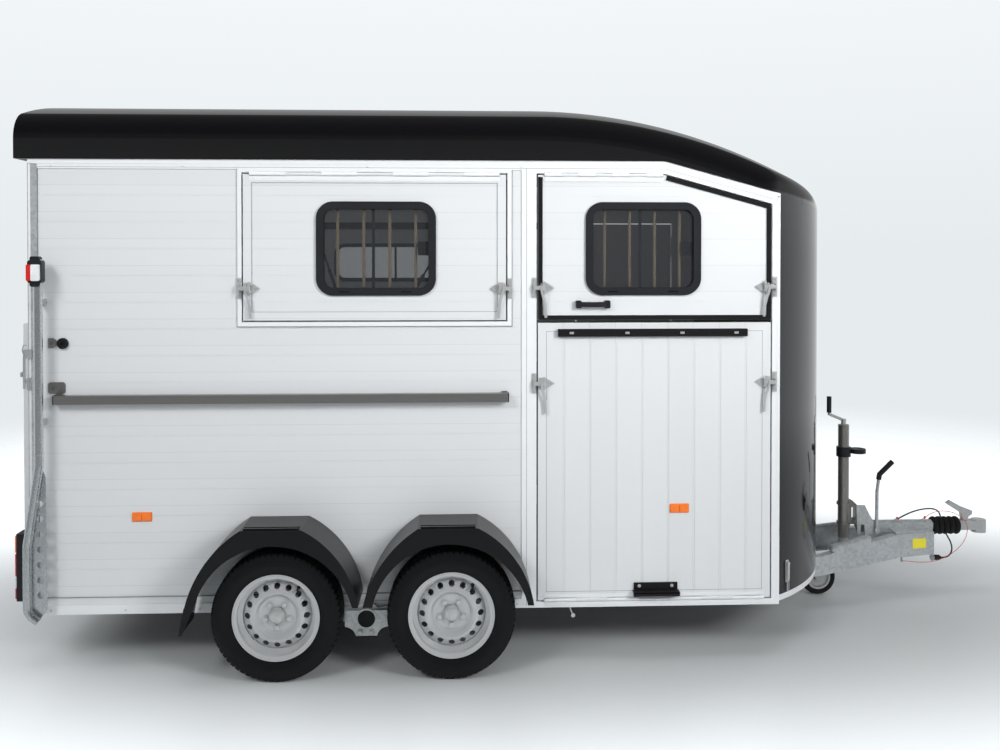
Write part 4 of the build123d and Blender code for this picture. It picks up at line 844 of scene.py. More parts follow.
def make_reflectors():
    half_x, half_z = 0.046, 0.0215
    for name, body, x, z, side, face in REFLECTORS:
        way = SIDES[side]
        holder = bmesh.new()
        box = (x - half_x, x + half_x, z - half_z, z + half_z, 0.004)
        side_plate(holder, way, box, face, face + 0.0035, 0.001)
        make_piece(f"reflector_holder_{name}", holder, "amber", body)
        lens = bmesh.new()
        for x0, x1 in ((x - half_x + 0.0035, x - 0.001), (x + 0.001, x + half_x - 0.0035)):
            box = (x0, x1, z - half_z + 0.0035, z + half_z - 0.0035, 0.003)
            side_plate(lens, way, box, face + 0.003, face + 0.0075, 0.0012)
        make_piece(f"reflector_{name}", lens, "amber", body)


def line_on_side(bm, section, side, *points, closed=False):
    """A strip along X and Z points on the outer face of a side."""
    swept(bm, section, [(x, SIDES[side] * FACE_Y, z) for x, z in points], OUT[side], closed)


def line_along_top(bm, section, side, x0, x1, drop):
    """A strip that follows the wall's upper edge, drop below it."""
    line_on_side(bm, section, side, *((x, wall_top(x, drop)) for x in (x0, SLOPE_START_X, x1)))


def make_rail_details():
    """Beads along the profiles with small screws and, on the right side, the rail's plates and caps and the buffer."""
    for side, way in SIDES.items():
        bead = strip(0.005, -0.001, 0.0014)
        bm = bmesh.new()
        y = way * FACE_Y
        line_along_top(bm, bead, side, -1.553, 1.951, 0.016)
        line_on_side(bm, bead, side, (-1.547, 0.262), (-1.547, 2.335))
        line_on_side(bm, bead, side, (1.944, 0.262), (1.944, 2.196))
        make_piece(f"profile_beads_{side}", bm, "profile", "root")
        screws = bmesh.new()
        for x in (-1.46, -1.12, -0.78, 0.40, 0.70):
            screw(screws, (x, y, 0.268), OUT[side], 0.0045)
        for x in (-1.45, -0.85, 0.0, 0.72):
            screw(screws, (x, y, 2.326), OUT[side], 0.0035)
        make_piece(f"rail_screws_{side}", screws, "zinc", "root")
    face = -WALL_Y
    plates = bmesh.new()
    prism(plates, rounded(-1.467, -1.389, 1.276, 1.329, 0.012), "y", face, face - 0.006, 0.001)
    prism(plates, [(-1.464, 1.487), (-1.440, 1.487), (-1.429, 1.498), (-1.426, 1.510), (-1.429, 1.522), (-1.440, 1.533),
                   (-1.464, 1.533)], "y", face, face - 0.009, 0.001)
    for x in (-1.450, -1.412):
        bolt(plates, (x, face - 0.006, 1.302), OUT["right"], 0.0075)
    screw(plates, (-1.448, face - 0.009, 1.510), OUT["right"], 0.008)
    make_piece("bar_plates", plates, "steel", "root")
    buffers = bmesh.new()
    turned(buffers, [(0.0255, 0.0), (0.0255, 0.010), (0.0235, 0.015), (0.019, 0.018), (0.0055, 0.018), (0.0055, 0.011),
                     (0, 0.011)], (-1.3995, face, 1.508), OUT["right"], 28)
    make_piece("ramp_buffer", buffers, "rubber", "root")
    ends = bmesh.new()
    for x0, x1 in ((-1.431, -1.427), (0.656, 0.660)):
        prism(ends, rounded(-0.9265, -0.8835, 1.2295, 1.2725, 0.003), "x", x0, x1, 0.001)
    make_piece("side_bar_caps", ends, "plastic", "root")


make_latches()
make_leaves()
make_flap_seal()
make_gap_seals()
make_window_fittings()
make_flap_handle()
make_ramp_fittings()
make_reflectors()
make_rail_details()


# Wheels


TREAD_PITCHES = 66
# place across the tyre from its outer face and radius, for the outer half
FLANK = [(0.0225, 0.1805), (0.0205, 0.188), (0.0200, 0.1958), (0.0166, 0.2000), (0.0130, 0.2045), (0.0124, 0.2062),
         (0.0092, 0.2110), (0.0085, 0.2122), (0.0040, 0.2200), (0.0012, 0.2280), (0.0, 0.2345), (0.0, 0.2400),
         (0.0006, 0.2450), (0.0014, 0.2465), (0.0018, 0.2535), (0.0032, 0.2550), (0.0050, 0.2625), (0.0078, 0.2690),
         (0.0108, 0.2760), (0.0124, 0.2792), (0.0142, 0.2825), (0.0162, 0.2855), (0.0190, 0.2878), (0.0232, 0.2892),
         (0.0290, 0.2900), (0.0360, 0.2905)]
# the same across the tread and its grooves, up to the middle
TREAD = [(0.0400, 0.2906), (0.0415, 0.2836), (0.0475, 0.2836), (0.0490, 0.2909), (0.0600, 0.2913), (0.0670, 0.2915),
         (0.0685, 0.2843), (0.0755, 0.2843), (0.0770, 0.2918), (0.0840, 0.2919), (0.0910, 0.2920)]
GROOVE_DEPTH = 0.0062
BOLT_CIRCLE = 0.056
SIPE_DEPTH = 0.0042
# where the columns of points stand within one pitch: the groove, then the block
SHARES = [0.0, 0.03, 0.19, 0.22, 0.60]


def tyre_profile():
    half = FLANK + TREAD
    far = [(TYRE_WIDTH - y, r) for y, r in half[:-1]]
    return half + far[::-1]


def make_tyre(end, side):
    """A tyre with standing blocks: cross grooves on the shoulders and finer ones on the ribs between."""
    profile = tyre_profile()
    bm = bmesh.new()
    way = SIDES[side]
    x0, z0 = AXLE_X[end], TYRE_RADIUS
    columns = []
    for pitch in range(TREAD_PITCHES):
        for share in SHARES:
            column = []
            for place, radius in profile:
                across = min(place, TYRE_WIDTH - place)
                depth = 0.0
                cut = SHARES[1] <= share <= SHARES[2]
                if cut and radius > 0.25 and 0.0118 < across < 0.0395:
                    depth = GROOVE_DEPTH * min(1.0, (across - 0.0105) / 0.006)
                rib = 0.0488 < across < 0.0672 or across > 0.0768
                if cut and rib and pitch % 2 == (1 if place > TYRE_WIDTH / 2 else 0):
                    depth = SIPE_DEPTH
                skew = 0.42 * (across - 0.012) if across > 0.012 else 0.0
                turn = 2 * math.pi * (pitch + share) / TREAD_PITCHES + skew * (1 if place < TYRE_WIDTH / 2 else -1)
                r = radius - depth
                y = way * (TYRE_FACE_Y - place)
                column.append(bm.verts.new((x0 + r * math.cos(turn), y, z0 + r * math.sin(turn))))
            columns.append(column)
    for a, b in zip(columns, columns[1:] + columns[:1]):
        for j in range(len(profile) - 1):
            bm.faces.new([a[j], a[j + 1], b[j + 1], b[j]])
    inner = [(TYRE_WIDTH - 0.0365, 0.1805), (TYRE_WIDTH - 0.028, 0.215), (TYRE_WIDTH - 0.024, 0.262), (0.024, 0.262),
             (0.028, 0.215), (0.0365, 0.1805)]
    before = [column[-1] for column in columns]
    first = [column[0] for column in columns]
    for place, radius in inner:
        ring = []
        for i in range(len(columns)):
            pitch, share = divmod(i, len(SHARES))
            turn = 2 * math.pi * (pitch + SHARES[share]) / TREAD_PITCHES
            ring.append(bm.verts.new((x0 + radius * math.cos(turn), way * (TYRE_FACE_Y - place),
                                      z0 + radius * math.sin(turn))))
        band(bm, before, ring)
        before = ring
    band(bm, before, first)
    body = f"wheel_{end}_{side}"
    piece = make_piece(f"road_tyre_{end}_{side}", bm, "tyre", body)
    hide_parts(f"tyre_{end}_{side}")


def make_wheel_details(end, side):
    """Hexagon bolts, valve, the pressed ring on the disc and the cap's edge."""
    way = SIDES[side]
    x, z = AXLE_X[end], TYRE_RADIUS
    body = f"wheel_{end}_{side}"
    out = OUT[side]

    def spot(radius, angle, depth):
        return (x + radius * math.cos(angle), way * (TYRE_FACE_Y - depth), z + radius * math.sin(angle))

    bolts = bmesh.new()
    for i in range(5):
        angle = 2 * math.pi * i / 5 + math.pi / 2 * way
        turned(bolts, [(0.0135, 0.0), (0.0125, 0.004), (0.0107, 0.005)], spot(BOLT_CIRCLE, angle, 0.060), out, 18)
        bolt(bolts, spot(BOLT_CIRCLE, angle, 0.0565), out, 0.0118)
    make_piece(f"wheel_bolts_{end}_{side}", bolts, "zinc", body)
    rings = bmesh.new()
    press = [(0.0345, 0.0), (0.0375, 0.0), (0.0372, 0.004), (0.0345, 0.0055)]
    turned(rings, press, spot(0, 0, 0.050), out, 40, closed=True)
    turned(rings, [(0.0105, 0.0), (0.0105, 0.0012), (0.0085, 0.0018), (0, 0.0018)], spot(0, 0, 0.0285), out, 24)
    make_piece(f"cap_rings_{end}_{side}", rings, "zinc", body)
    valve = bmesh.new()
    angle = math.radians(52 if side == "right" else 128)
    stem = [(0.0085, -0.002), (0.0082, 0.004), (0.0052, 0.007), (0.0048, 0.026), (0.0055, 0.027), (0.0055, 0.040),
            (0.0048, 0.042), (0, 0.042)]
    turned(valve, stem, spot(0.1545, angle, 0.062), out, 14)
    make_piece(f"valve_{end}_{side}", valve, "rubber", body)


for wheel_side in SIDES:
    for wheel_end in AXLE_X:
        make_tyre(wheel_end, wheel_side)
        make_wheel_details(wheel_end, wheel_side)


# Rear: corner strips, marker lamps, lenses, ramp fittings, rolled curtain


def both(shape):
    """Calls a shape for each side of the trailer, with the side's sign."""
    for side, way in SIDES.items():
        shape(side, way)


def make_corner(side, way):
    """Zinc strip on the rear post, the marker lamp on the guard tube and the catch lever below it."""
    post = bmesh.new()
    side_plate(post, way, (-1.556, -1.512, 0.262, 2.338, 0.002, 2), FACE_Y, FACE_Y + 0.0012, 0.0004, 1)
    make_piece(f"corner_strip_{side}", post, "galvanised", "root")
    holder = bmesh.new()
    side_plate(holder, way, (-1.519, -1.456, 1.789, 1.893, 0.012), 0.932, 0.977, 0.004)
    side_plate(holder, way, (-1.510, -1.466, 1.772, 1.910, 0.010), 0.938, 0.972, 0.004)
    make_piece(f"marker_holder_{side}", holder, "plastic", "root")
    for name, x0, x1 in (("red", -1.517, -1.4975), ("clear", -1.4965, -1.460)):
        lens = bmesh.new()
        side_plate(lens, way, (x0, x1, 1.799, 1.873, 0.006), 0.976, 0.995, 0.005, 3)
        make_piece(f"marker_lens_{name}_{side}", lens, name, "root")
    lever = bmesh.new()
    side_plate(lever, way, (-1.562, -1.540, 1.292, 1.352, 0.006), FACE_Y, FACE_Y + 0.006, 0.001)
    side_plate(lever, way, (-1.575, -1.565, 1.300, 1.452, 0.0045), FACE_Y + 0.008, FACE_Y + 0.014, 0.0015)
    side_plate(lever, way, (-1.575, -1.536, 1.440, 1.482, 0.008), FACE_Y + 0.004, FACE_Y + 0.012, 0.0015)
    y0, y1 = side_span(way, FACE_Y, FACE_Y + 0.010)
    block(lever, (-1.572, y0, 1.330), (-1.548, y1, 1.342), 0.001)
    hook = [(-1.570, 0.011, 1.452), (-1.578, 0.011, 1.478), (-1.572, 0.011, 1.502), (-1.560, 0.009, 1.500)]
    wire(lever, [(x, way * (FACE_Y + out), z) for x, out, z in hook], 0.003)
    for z in (1.304, 1.340):
        bolt(lever, (-1.551, way * (FACE_Y + 0.006), z), OUT[side], 0.006)
    make_piece(f"catch_lever_{side}", lever, "zinc", "root")


# finish, lower and upper Z of each lens of a rear lamp, and how far out in Y they stand
LENSES = [("amber", 0.551, 0.631), ("red", 0.442, 0.547), ("clear", 0.392, 0.438), ("red", 0.339, 0.388)]
LENS_Y = (0.851, 0.920)


def make_rear_lamp(side, way):
    for i, (finish, z0, z1) in enumerate(LENSES):
        bm = bmesh.new()
        tail_plate(bm, (*side_span(way, *LENS_Y), z0, z1, 0.006), -0.001, 0.008, 0.003, 3)
        make_piece(f"rear_lens_{side}_{i}", bm, finish, "root")


def triangle(size, y, z):
    """An upright triangle with cut corners, in Y and Z."""
    tip = size / math.sqrt(3)
    corners = [Vector((y + tip * math.sin(a), z + tip * math.cos(a))) for a in (0, 2 * math.pi / 3, 4 * math.pi / 3)]
    points = []
    for i, corner in enumerate(corners):
        before, after = corners[i - 1], corners[(i + 1) % 3]
        points += [corner.lerp(before, 0.06), corner.lerp(after, 0.06)]
    return [(p.x, p.y) for p in points]


def make_ramp_back():
    """Edge profile, catches, handle, blank plate with its lamps, and triangles on the rear ramp."""
    half, z0, z1 = 0.832, 0.302, 1.596
    edge = bmesh.new()
    section = [(-0.020, 0.0), (-0.020, 0.002), (0.018, 0.002), (0.020, 0.0)]
    inset = half - 0.021
    frame_path = [(TAIL_X, -inset, z0 + 0.060), (TAIL_X, -inset, z1 - 0.020), (TAIL_X, inset, z1 - 0.020),
                  (TAIL_X, inset, z0 + 0.060)]
    swept(edge, section, frame_path, OUT["rear"])
    make_piece("rear_ramp_edge", edge, "profile", "tail_ramp")
    fittings = bmesh.new()
    for way in (-1, 1):
        tail_plate(fittings, (*side_span(way, 0.770, 0.830), 1.335, 1.385, 0.006), 0.001, 0.007, 0.001)
        tail_plate(fittings, (*side_span(way, 0.800, 0.844), 1.349, 1.371, 0.004), 0.006, 0.012, 0.0015)
        for y in (0.781, 0.792):
            bolt(fittings, (TAIL_X - 0.007, way * y, 1.360), OUT["rear"], 0.004)
    for y in (-0.255, 0.255):
        screw(fittings, (TAIL_X - 0.007, y, 0.655), OUT["rear"], 0.005)
    make_piece("rear_ramp_catches", fittings, "zinc", "tail_ramp")
    handle = bmesh.new()
    for y in (-0.085, 0.085):
        tail_plate(handle, (y - 0.016, y + 0.016, 1.462, 1.498, 0.008), 0, 0.014, 0.003)
    tail_plate(handle, (-0.092, 0.092, 1.468, 1.492, 0.010), 0.009, 0.0185, 0.004, 3)
    make_piece("rear_ramp_handle", handle, "plastic", "tail_ramp")
    holder = bmesh.new()
    tail_plate(holder, (-0.270, 0.270, 0.588, 0.712, 0.008), 0, 0.004, 0.0015)
    for y in (-0.180, 0.180):
        tail_plate(holder, (y - 0.042, y + 0.042, 0.716, 0.742, 0.008), 0, 0.018, 0.004, 3)
    make_piece("plate_holder", holder, "plastic", "tail_ramp")
    plate = bmesh.new()
    tail_plate(plate, (-0.260, 0.260, 0.595, 0.705, 0.010), 0.0035, 0.0055, 0.0008)
    make_piece("blank_plate", plate, "plate", "tail_ramp")
    for y, name in ((-0.55, "right"), (0.55, "left")):
        base = bmesh.new()
        prism(base, triangle(0.160, y, 0.440), "x", TAIL_X, TAIL_X - 0.004, 0.001)
        make_piece(f"triangle_base_{name}", base, "plastic", "tail_ramp")
        lens = bmesh.new()
        prism(lens, triangle(0.145, y, 0.440), "x", TAIL_X - 0.0035, TAIL_X - 0.008, 0.0015)
        make_piece(f"triangle_{name}", lens, "red", "tail_ramp")


ROLL = {"x": -1.536, "z": 2.255, "radius": 0.0464, "pitch": 0.0011, "half": 0.752}
CURTAIN_WIDTH = 2 * ROLL["half"]
CURTAIN_DROP = 1.13
CURTAIN_COLUMNS = 12
CREASE = 0.0003


def make_curtain():
    """The rear curtain rolled on its tube: a spiral sheet, with two straps."""
    bm = bmesh.new()
    length = 0.0
    angle = math.radians(-60)
    radius = ROLL["radius"]
    rows = []
    before = None
    step = math.radians(6)
    while length < CURTAIN_DROP:
        point = Vector((ROLL["x"] + radius * math.cos(angle), 0, ROLL["z"] + radius * math.sin(angle)))
        if before is not None:
            length += (point - before).length
        before = point
        columns = (-ROLL["half"] + CURTAIN_WIDTH * i / CURTAIN_COLUMNS for i in range(CURTAIN_COLUMNS + 1))
        rows.append([bm.verts.new((point.x + CREASE * math.sin(23 * y + angle), y, point.z)) for y in columns])
        angle += step
        radius += ROLL["pitch"] * step / (2 * math.pi)
    for a, b in zip(rows, rows[1:]):
        for i in range(CURTAIN_COLUMNS):
            bm.faces.new([a[i], a[i + 1], b[i + 1], b[i]])
    piece = make_piece("rolled_curtain", bm, "cloth", "root")
    straps = bmesh.new()
    outer = radius + 0.0012
    for y in (-0.45, 0.45):
        centre = (ROLL["x"], y, ROLL["z"])
        turned(straps, sleeve(outer, outer + 0.0016, -0.014, 0.014), centre, OUT["left"], 48, closed=True)
        block(straps, (ROLL["x"] - outer - 0.006, y - 0.018, ROLL["z"] - 0.012),
              (ROLL["x"] - outer - 0.001, y + 0.018, ROLL["z"] + 0.012), 0.0015)
    make_piece("curtain_straps", straps, "rubber", "root")


both(make_corner)
both(make_rear_lamp)
make_ramp_back()
make_curtain()


# Nose, roof edge and drawbar

# the nose's bow: X of its centre, its radius, the sill's, and the angles of the sill's ends and of the latches
BOW = {"x": 1.335, "radius": 1.050, "sill": 1.048, "end": 53.8, "latch": 49.5}


def on_bow(bm, angle):
    """Turns a shape made against the right side, round the bow's centre, to stand on the bow at angle."""
    turn = Matrix.Rotation(math.radians(90 - angle), 4, "Z")
    bmesh.ops.transform(bm, matrix=Matrix.Translation((BOW["x"], 0, 0)) @ turn, verts=bm.verts)


def make_nose_details():
    """The nose's lower edge profile, and its two latches."""
    rim = bmesh.new()
    path = []
    for i in range(37):
        angle = math.radians(BOW["end"] * (i / 18 - 1))
        path.append((BOW["x"] + BOW["sill"] * math.cos(angle), BOW["sill"] * math.sin(angle), 0.2505))
    swept(rim, [(0, 0), (0, 0.0285), (0.012, 0.0285), (0.012, 0)], path, (0, 0, 1))
    make_piece("nose_sill", rim, "profile", "root")
    face = -BOW["radius"] - 0.0005
    for angle, name in ((BOW["latch"], "right"), (-BOW["latch"], "left")):
        bm = bmesh.new()
        prism(bm, rounded(-0.013, 0.013, 0.329, 0.436, 0.005), "y", face, face - 0.004, 0.001)
        prism(bm, rounded(-0.008, 0.008, 0.340, 0.428, 0.004), "y", face - 0.008, face - 0.013, 0.0015)
        turned(bm, rod(0.005, -0.011, 0.011), (0, face - 0.009, 0.420), (1, 0, 0), 12)
        for z in (0.336, 0.430):
            screw(bm, (0, face - 0.004, z), OUT["right"], 0.004)
        wire(bm, [(-0.007, face - 0.009, 0.372), (-0.007, face - 0.009, 0.292), (0, face - 0.008, 0.284),
                  (0.007, face - 0.009, 0.292), (0.007, face - 0.009, 0.372)], 0.002)
        on_bow(bm, angle)
        make_piece(f"nose_latch_{name}", bm, "zinc", "root")


def make_roof_edge(side, way):
    y = way * 0.8864
    bm = bmesh.new()
    places = (-1.588, -0.6, 0.4, SLOPE_START_X - 0.01, SLOPE_START_X + 0.01, 1.70, 1.93)
    wire(bm, [(x, y, wall_top(x) + 0.0022) for x in places], 0.0021)
    make_piece(f"roof_edge_{side}", bm, "black_skin", "root")


JOCKEY_AXLE = (2.460, 0, 0.098)


def beam_face(x):
    """The right beam's outer face, as Y."""
    return -0.130 + (x - 2.880) * 0.1953


def make_drawbar_details():
    """The bare label, the parked jockey's collar, the clips' tips, the jockey wheel's rim and the pivot tube's ends,
    with a dark disc in each that paints the shade in its hollow.
    """
    label = bmesh.new()
    corners = [(2.961, 0.280), (3.044, 0.280), (3.044, 0.334), (2.961, 0.334)]
    inner = [label.verts.new((x, beam_face(x) + 0.001, z)) for x, z in corners]
    outer = [label.verts.new((x, beam_face(x) - 0.0008, z)) for x, z in corners]
    label.faces.new(inner)
    label.faces.new(outer[::-1])
    for i in range(4):
        label.faces.new([inner[i], inner[i - 1], outer[i - 1], outer[i]])
    make_piece("bare_label", label, "label", "root")
    covers = bmesh.new()
    for x, profile in (
        (2.610, [(0.0382, 0.7785), (0.0396, 0.7795), (0.0396, 0.8325), (0.0382, 0.8335)]),
        (2.690, [(0.0452, 0.7965), (0.0462, 0.7995), (0.0462, 0.8165), (0.0452, 0.8195)]),
        (2.690, [(0.0272, 0.8192), (0.0272, 0.8204), (0.0448, 0.8204), (0.0448, 0.8192)]),
    ):
        turned(covers, profile, (x, 0, 0), UP, 40, closed=True)
    make_piece("park_collar_cover", covers, "plastic", "root")
    clips = bmesh.new()
    for x, y, z in ((2.911, -0.020, 0.420), (3.071, -0.020, 0.423)):
        turned(clips, [(0.0042, 0.0), (0.0058, 0.001), (0.0058, 0.010), (0.0042, 0.014)], (x, y, z), (0.3, 0, 1), 16)
    make_piece("clip_tips", clips, "red_cable", "root")
    rim = bmesh.new()
    for way in (-1, 1):
        dish = [(0.0200, 0.0102), (0.0200, 0.0122), (0.0500, 0.0122), (0.0560, 0.0165), (0.0585, 0.0225),
                (0.0680, 0.0232), (0.0680, 0.0212), (0.0600, 0.0200), (0.0560, 0.0102)]
        turned(rim, dish, JOCKEY_AXLE, (0, way, 0), 48, closed=True)
        turned(rim, sleeve(0.009, 0.0215, 0.0250, 0.0268), JOCKEY_AXLE, (0, way, 0), 32, closed=True)
    make_piece("jockey_rim", rim, "zinc", "jockey_roller")
    pivot = bmesh.new()
    dark = bmesh.new()
    for side, way in SIDES.items():
        centre = (-0.003, way * 0.9280, 0.228)
        ring = [(0.0405, 0.0), (0.0405, 0.0045), (0.0465, 0.0045), (0.0465, 0.0)]
        turned(pivot, ring, centre, OUT[side], 48, closed=True)
        # A thin dark disc just inside the ring: painted shade in the hollow of the tube.
        turned(dark, [(0.0403, 0.0003), (0.0403, 0.0010), (0.0, 0.0010)], centre, OUT[side], 40)
        for x in (-0.032, 0.022):
            bolt(pivot, (x, way * 0.9340, 0.165), OUT[side], 0.011)
    make_piece("pivot_ends", pivot, "galvanised", "root")
    make_piece("pivot_painted_shade", dark, "rubber", "root")


make_nose_details()
both(make_roof_edge)
make_drawbar_details()


# Left side: entrance door

DOOR = {"x0": 1.190, "x1": 1.800, "z0": 0.420, "z1": 2.120}


def make_door_details():
    """The door's edge profile, its lock with the key barrel, and the hinge leaves on both sides of the gap."""
    d = DOOR
    face = FACE_Y
    seal = bmesh.new()
    inset = 0.010
    hinge_x = d["x1"] - 0.030
    x0, z0, z1 = d["x0"] + inset, d["z0"] + inset, d["z1"] - inset
    line_on_side(seal, strip(0.008, 0.0, 0.0015), "left", (hinge_x, z0), (x0, z0), (x0, z1), (hinge_x, z1))
    make_piece("door_edge", seal, "profile", "entrance_door")
    grip = bmesh.new()
    bar = [(0.0112, 1.098), (0.0128, 1.101), (0.0128, 1.219), (0.0112, 1.222)]
    turned(grip, bar, (1.245, 0.920, 0), UP, 24, closed=True)
    prism(grip, rounded(1.224, 1.266, 0.925, 1.030, 0.008), "y", face, face + 0.012, 0.003)
    prism(grip, rounded(1.230, 1.260, 0.962, 1.018, 0.006), "y", face + 0.011, face + 0.020, 0.003)
    make_piece("door_lock", grip, "plastic", "entrance_door")
    key = bmesh.new()
    turned(key, [(0.009, 0.0), (0.009, 0.003), (0.0075, 0.004), (0.003, 0.004), (0.003, 0.002), (0, 0.002)],
           (1.245, face + 0.012, 0.943), OUT["left"], 20)
    make_piece("door_key_barrel", key, "zinc", "entrance_door")
    for body, x0, x1 in (("entrance_door", 1.738, 1.790), ("root", 1.810, 1.862)):
        leaves = bmesh.new()
        for z in (0.540, 2.000):
            prism(leaves, rounded(x0, x1, z - 0.038, z + 0.038, 0.006), "y", face, face + 0.003, 0.0008)
            for x in (x0 + 0.014, x1 - 0.014):
                for dz in (-0.022, 0.022):
                    screw(leaves, (x, face + 0.003, z + dz), OUT["left"], 0.0048)
        make_piece(f"door_hinge_leaves_{body}", leaves, "zinc", body)


make_door_details()


# Inside: kick boards, padded partition and bars, stays of the hatch, lamp

INNER_Y = 0.8455


def make_inside():
    """What shows through the glass and the open ramps."""
    for side, x1 in (("right", 0.780), ("left", 1.150)):
        way = SIDES[side]
        board = bmesh.new()
        side_plate(board, way, (-1.500, x1, 0.440, 1.240, 0.010), INNER_Y, INNER_Y - 0.006, 0.0015)
        make_piece(f"kick_board_{side}", board, "vinyl", "root")
        cap = bmesh.new()
        path = [(x, way * INNER_Y, 1.246) for x in (-1.500, x1)]
        swept(cap, strip(0.012, 0.0, 0.009), path, (0, -way, 0))
        make_piece(f"kick_board_cap_{side}", cap, "profile", "root")
    pad = bmesh.new()
    for x0, x1 in ((-1.340, -0.680), (-0.672, -0.026), (-0.018, 0.628)):
        prism(pad, rounded(x0, x1, 0.580, 1.462, 0.045, 6), "y", -0.024, 0.024, 0.011, 4)
    piece = make_piece("partition_pad", pad, "vinyl", "root")
    sleeves = bmesh.new()
    for x, z in ((0.690, 1.180), (-1.400, 0.960)):
        for way in (-1, 1):
            profile = [(0.0205, 0.10), (0.0310, 0.102), (0.0360, 0.112), (0.0375, 0.20), (0.0380, 0.40), (0.0375, 0.62),
                       (0.0360, 0.712), (0.0310, 0.722), (0.0205, 0.724)]
            turned(sleeves, profile, (x, 0, z), (0, way, 0), 32, closed=True)
    piece = make_piece("bar_pads", sleeves, "vinyl", "root")
    stays = bmesh.new()
    y = -FACE_Y + PANEL_DEPTH + 0.016
    for low, high in (((-0.142, y, 1.722), (-0.218, y, 1.955)), ((0.205, y, 1.731), (0.306, y, 1.899))):
        mid = tuple(Vector(low).lerp(Vector(high), 0.55))
        wire(stays, [low, mid], 0.0085, 14)
        wire(stays, [mid, high], 0.0045, 12)
        for x, _, z in (low, high):
            turned(stays, rod(0.009, -0.013, 0.008), (x, y, z), OUT["left"], 14)
    make_piece("hatch_stays", stays, "plastic", "side_hatch")
    lamp = bmesh.new()
    prism(lamp, rounded(0.955, 1.105, -0.060, 0.060, 0.030), "z", 2.430, 2.412, 0.006, 3)
    make_piece("ceiling_lamp", lamp, "clear", "root")


make_inside()


# Painted shadow lines at the profiles' joints and round the fields, the stud under the front ramp and the rail high
# inside the left wall

# A thin dark strip standing just off the face: a painted shadow line at a joint.
SHADOW_LINE = strip(0.0008, -0.006, 0.0004)
PANEL_BORDER = 0.040


def make_lines():
    """Fine dark strips that paint the shadow lines at the profiles' joints and round the hatch's and front ramp's
    fields, the stud, and the inner rail.
    """
    for side in SIDES:
        bm = bmesh.new()
        line_along_top(bm, SHADOW_LINE, side, -1.512, 1.940, 0.036)
        line_on_side(bm, SHADOW_LINE, side, (-1.511, 0.264), (-1.511, 2.322))
        if side == "right":
            line_on_side(bm, SHADOW_LINE, side, (0.745, 0.262), (0.745, 2.322))
            line_on_side(bm, SHADOW_LINE, side, (-1.510, 0.329), (0.744, 0.329))
            line_on_side(bm, SHADOW_LINE, side, (-0.602, 2.318), (-0.602, 1.582), (0.677, 1.582), (0.677, 2.318))
        else:
            line_on_side(bm, SHADOW_LINE, side, (-1.510, 0.329), (1.120, 0.329))
        make_piece(f"profile_shadow_lines_{side}", bm, "seam", "root")
    for body, panel in (("side_hatch", HATCH), ("front_ramp", RAMP)):
        bm = bmesh.new()
        x0, x1 = panel["x0"] + PANEL_BORDER, panel["x1"] - PANEL_BORDER
        z0, z1 = panel["z0"] + PANEL_BORDER, panel["z1"] - PANEL_BORDER
        line_on_side(bm, SHADOW_LINE, "right", (x0, z0), (x1, z0), (x1, z1), (x0, z1), closed=True)
        make_piece(f"border_shadow_lines_{body}", bm, "seam", body)
    stud = bmesh.new()
    wire(stud, [(0.952, -0.872, 0.268), (0.954, -0.876, 0.240), (0.962, -0.878, 0.222)], 0.0035)
    head = [(0.0095, -0.003), (0.0105, 0.0), (0.0095, 0.003), (0, 0.003)]
    turned(stud, head, (0.966, -0.878, 0.211), OUT["right"], 16)
    make_piece("sill_stud", stud, "zinc", "root")
    rail = bmesh.new()
    block(rail, (-1.500, 0.834, 2.088), (1.100, 0.8455, 2.130), 0.003)
    for i in range(9):
        screw(rail, (-1.30 + 0.28 * i, 0.834, 2.109), OUT["right"], 0.005)
    make_piece("inner_rail", rail, "vinyl", "root")


make_lines()


# Floor and light

FLOOR_COLOR = (0.55, 0.57, 0.575)
BACKDROP = (0.913, 0.947, 0.973)
BACKDROP_LOW = (0.79, 0.83, 0.845)
FRONT_SHARE = 0.29
FLOOR_NEAR = 3.5
FLOOR_FAR = 9.0
# name, place, target, size, power, spread of the beam in degrees, whether it shows in gloss
LAMPS = [
    ("key_left", (-4.2, -5.6, 5.0), (-1.6, -0.9, 2.2), (1.8, 1.8), 43, 80, False),
    ("key_right", (3.2, -4.8, 3.4), (0.3, -0.9, 2.4), (1.6, 1.6), 59, 80, False),
    ("top", (0.0, -0.5, 7.5), (0, 0, 0), (8, 3), 170, 180, False),
    ("back_left", (-6.0, 5.5, 4.0), (0, 0.5, 1.2), (3, 3), 150, 180, False),
    ("back_right", (6.0, 5.5, 4.5), (0, 0.5, 1.2), (3, 3), 120, 180, False),
    ("inside", (-0.5, 0.0, 2.50), (-0.5, 0.0, 0.0), (2.4, 1.0), 2.5, 180, False),
]
AMBIENT = 0.49
GLOW = 0.74
# half-lengths of the ellipse round the trailer inside which the floor's glow fades out: painted shade under and round
# the trailer
PAINTED_SHADE_REACH = (3.1, 1.5)


def place_lights():
    for name, place, target, size, power, spread, shows in LAMPS:
        data = bpy.data.lights.new(name, "AREA")
        data.shape = "RECTANGLE"
        data.size, data.size_y = size
        data.energy = power
        data.spread = math.radians(spread)
        lamp = bpy.data.objects.new(name, data)
        lamp.location = place
        lamp.visible_glossy = shows
        lamp.visible_camera = False
        way = Vector(target) - Vector(place)
        lamp.rotation_euler = way.to_track_quat("-Z", "Y").to_euler()
        bpy.context.scene.collection.objects.link(lamp)


